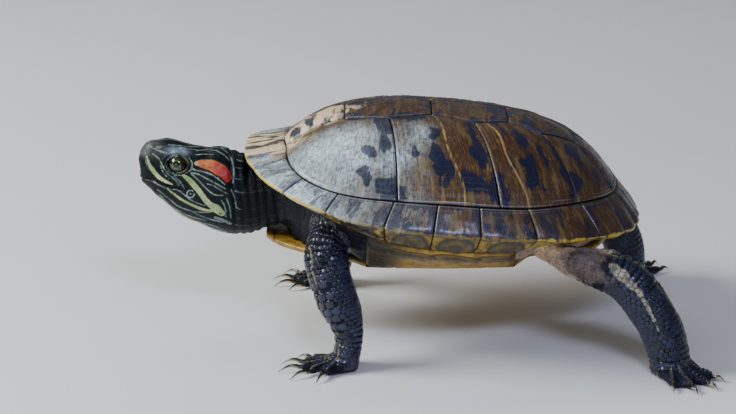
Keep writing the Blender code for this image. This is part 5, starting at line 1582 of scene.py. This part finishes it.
EYE_LOOK = eye_look()
for side, word in ((1, "left"), (-1, "right")):
    bm = bmesh.new()
    bmesh.ops.create_uvsphere(bm, u_segments=56, v_segments=36, radius=1.0)
    pts = np.array([v.co for v in bm.verts], float)
    faces = [[v.index for v in f.verts] for f in bm.faces]
    bm.free()
    g = GAZE * [1, side, 1]
    upv = np.array([0, 0, 1.0]) - g[2] * g
    upv = upv / np.linalg.norm(upv)
    fwd = np.cross(upv, g)
    h = pts @ g
    reach = np.sqrt(np.maximum(0, 1 - h * h))
    bulge = 1.0 + 0.045 * bell(np.arccos(np.clip(h, -1, 1)), 0.62)
    att = {"er": np.where(h > 0, reach, 1.0), "ev": pts @ upv, "eu": pts @ fwd}
    seat = EYE * [1, side, 1] - g * 0.75
    piece(f"eyeball_{word}", seat + pts * bulge[:, None] * 4.85, faces, EYE_LOOK, att, [f"eye_{word}"])

# ------------------------------------------------------------------ claws


def claw_look():
    m = Look("slider_claw", 0.28, Coat_Weight=0.55, Coat_Roughness=0.15)
    t, across = m.attr("along"), m.attr("across")
    grain = m.noise(1.0, 3, 0.6, m.scaled(m.where(), (900, 900, 900)))
    pale = m.mix(m.step(t, 0.15, 0.85), (0.40, 0.335, 0.150), (0.56, 0.50, 0.33))
    colour = m.mix(m.step(m.add(across, m.mul(grain, 0.5), -0.25), 0.05, 0.45), pale, (0.018, 0.015, 0.014))
    colour = m.mix(m.mul(m.step(t, 0.18, 0.0), 0.85), colour, (0.012, 0.012, 0.013))
    return m.done(colour, m.bump(grain, 0.25, 0.0001), m.step(grain, 0.3, 0.7, 0.2, 0.36))


CLAW = claw_look()
for key, label in (("fore", "foreclaw"), ("hind", "hindclaw")):
    for word in ("left", "right"):
        for i, (p0, p1, d, start, length, radius, lift) in enumerate(LIMBS["digits", key, word]):
            z0 = 2.3 if key == "fore" else 2.1
            rings, along, across = [], [], []
            sides, steps = 16, 18
            side_way = np.cross([0, 0, 1.0], d)
            for q in range(steps):
                t = -0.22 + 1.22 * q / (steps - 1)
                u = max(t, 0.0)
                p = np.array([start[0], start[1], 0]) + d * length * t
                z = z0 + lift * math.sin(math.pi * min(1, u * 1.1)) - (z0 - 0.62) * u ** 1.8
                r = radius * (1.12 - max(u, 0.0) ** 1.35 * 0.98)
                ring = []
                for k in range(sides):
                    a = 2 * math.pi * k / sides
                    ring.append(p + side_way * math.cos(a) * r * 0.78 + np.array([0, 0, z + math.sin(a) * r * (1.0 if math.sin(a) > 0 else 0.8)]))
                    along.append(u)
                    across.append(math.sin(a) * 0.9 + 0.1)
                rings.append(ring)
            rings = np.array(rings)
            rings[..., 2] = np.maximum(rings[..., 2], 0.05)
            pts, faces = tube(rings)
            att = {"along": np.r_[along, 0, 1], "across": np.r_[across, 0, 0]}
            piece(f"claw_{key}_{word}_{i + 1}", pts, faces, CLAW, att, [f"{label}_{word}_{i + 1}"], outward=True)

# ------------------------------------------------------------------ floor, light, camera


def stage_look():
    m = Look("studio_floor", 0.62)
    n = m.noise(3.0, 3, 0.5)
    fine = m.noise(420.0, 3, 0.6)
    return m.done(m.mix(m.step(n, 0.3, 0.7), (0.80, 0.785, 0.76), (0.76, 0.75, 0.73)), m.bump(fine, 0.08, 0.0004))


bm = bmesh.new()
bmesh.ops.create_grid(bm, x_segments=24, y_segments=24, size=6.0)
mesh = bpy.data.meshes.new("studio_floor")
bm.to_mesh(mesh)
bm.free()
mesh.materials.append(stage_look())
floor = bpy.data.objects.new("studio_floor", mesh)
bpy.context.scene.collection.objects.link(floor)


def softbox(name, at, aim, size, power, colour):
    light = bpy.data.lights.new(name, "AREA")
    light.shape = "RECTANGLE"
    light.size, light.size_y = size
    light.energy = power
    light.color = colour
    obj = bpy.data.objects.new(name, light)
    obj.location = at
    obj.rotation_euler = (Vector(aim) - Vector(at)).to_track_quat("-Z", "Y").to_euler()
    bpy.context.scene.collection.objects.link(obj)
    return obj


AIM = (0, 0, 0.07)
softbox("sky_left", (-1.25, -0.10, 0.98), AIM, (0.75, 0.60), 33.0, (0.90, 0.97, 1.0))
softbox("front_top", (0.22, -1.10, 1.08), AIM, (0.42, 0.16), 10.0, (0.58, 0.66, 1.0))
softbox("low_front", (-0.7, -1.3, 0.35), AIM, (0.9, 0.5), 3.0, (1.0, 0.95, 0.84))
softbox("back_right", (-0.55, 0.75, 1.45), AIM, (0.7, 0.5), 3.8, (1.0, 0.93, 0.82))
world = bpy.data.worlds.new("studio")
bpy.context.scene.world = world
world.use_nodes = True
world.node_tree.nodes["Background"].inputs[0].default_value = (0.86, 0.90, 0.95, 1)
world.node_tree.nodes["Background"].inputs[1].default_value = 0.17

camera = bpy.data.cameras.new("camera")
camera.lens, camera.sensor_width = 126.67, 36.0
camera.clip_start, camera.clip_end = 0.05, 30
eye_cam = bpy.data.objects.new("camera", camera)
az, el, dist = math.radians(-2), math.radians(17), 1.3
back = Vector((math.sin(az) * math.cos(el), -math.cos(az) * math.cos(el), math.sin(el)))
right = Vector((math.cos(az), math.sin(az), 0))
up = right.cross(-back)
ahead = (-back * 2589.6 + right * (368 - 441.4) + up * (178.6 - 207)).normalized()
place_at = Vector((0, 0, 0.077)) + back * dist + Vector((0.0085, 0.0013, 0))
side_x = ahead.cross(Vector((0, 0, 1))).normalized()
side_y = side_x.cross(ahead)
eye_cam.matrix_world = Matrix((
    (side_x.x, side_y.x, -ahead.x, place_at.x), (side_x.y, side_y.y, -ahead.y, place_at.y),
    (side_x.z, side_y.z, -ahead.z, place_at.z), (0, 0, 0, 1)))
bpy.context.scene.collection.objects.link(eye_cam)
bpy.context.scene.camera = eye_cam
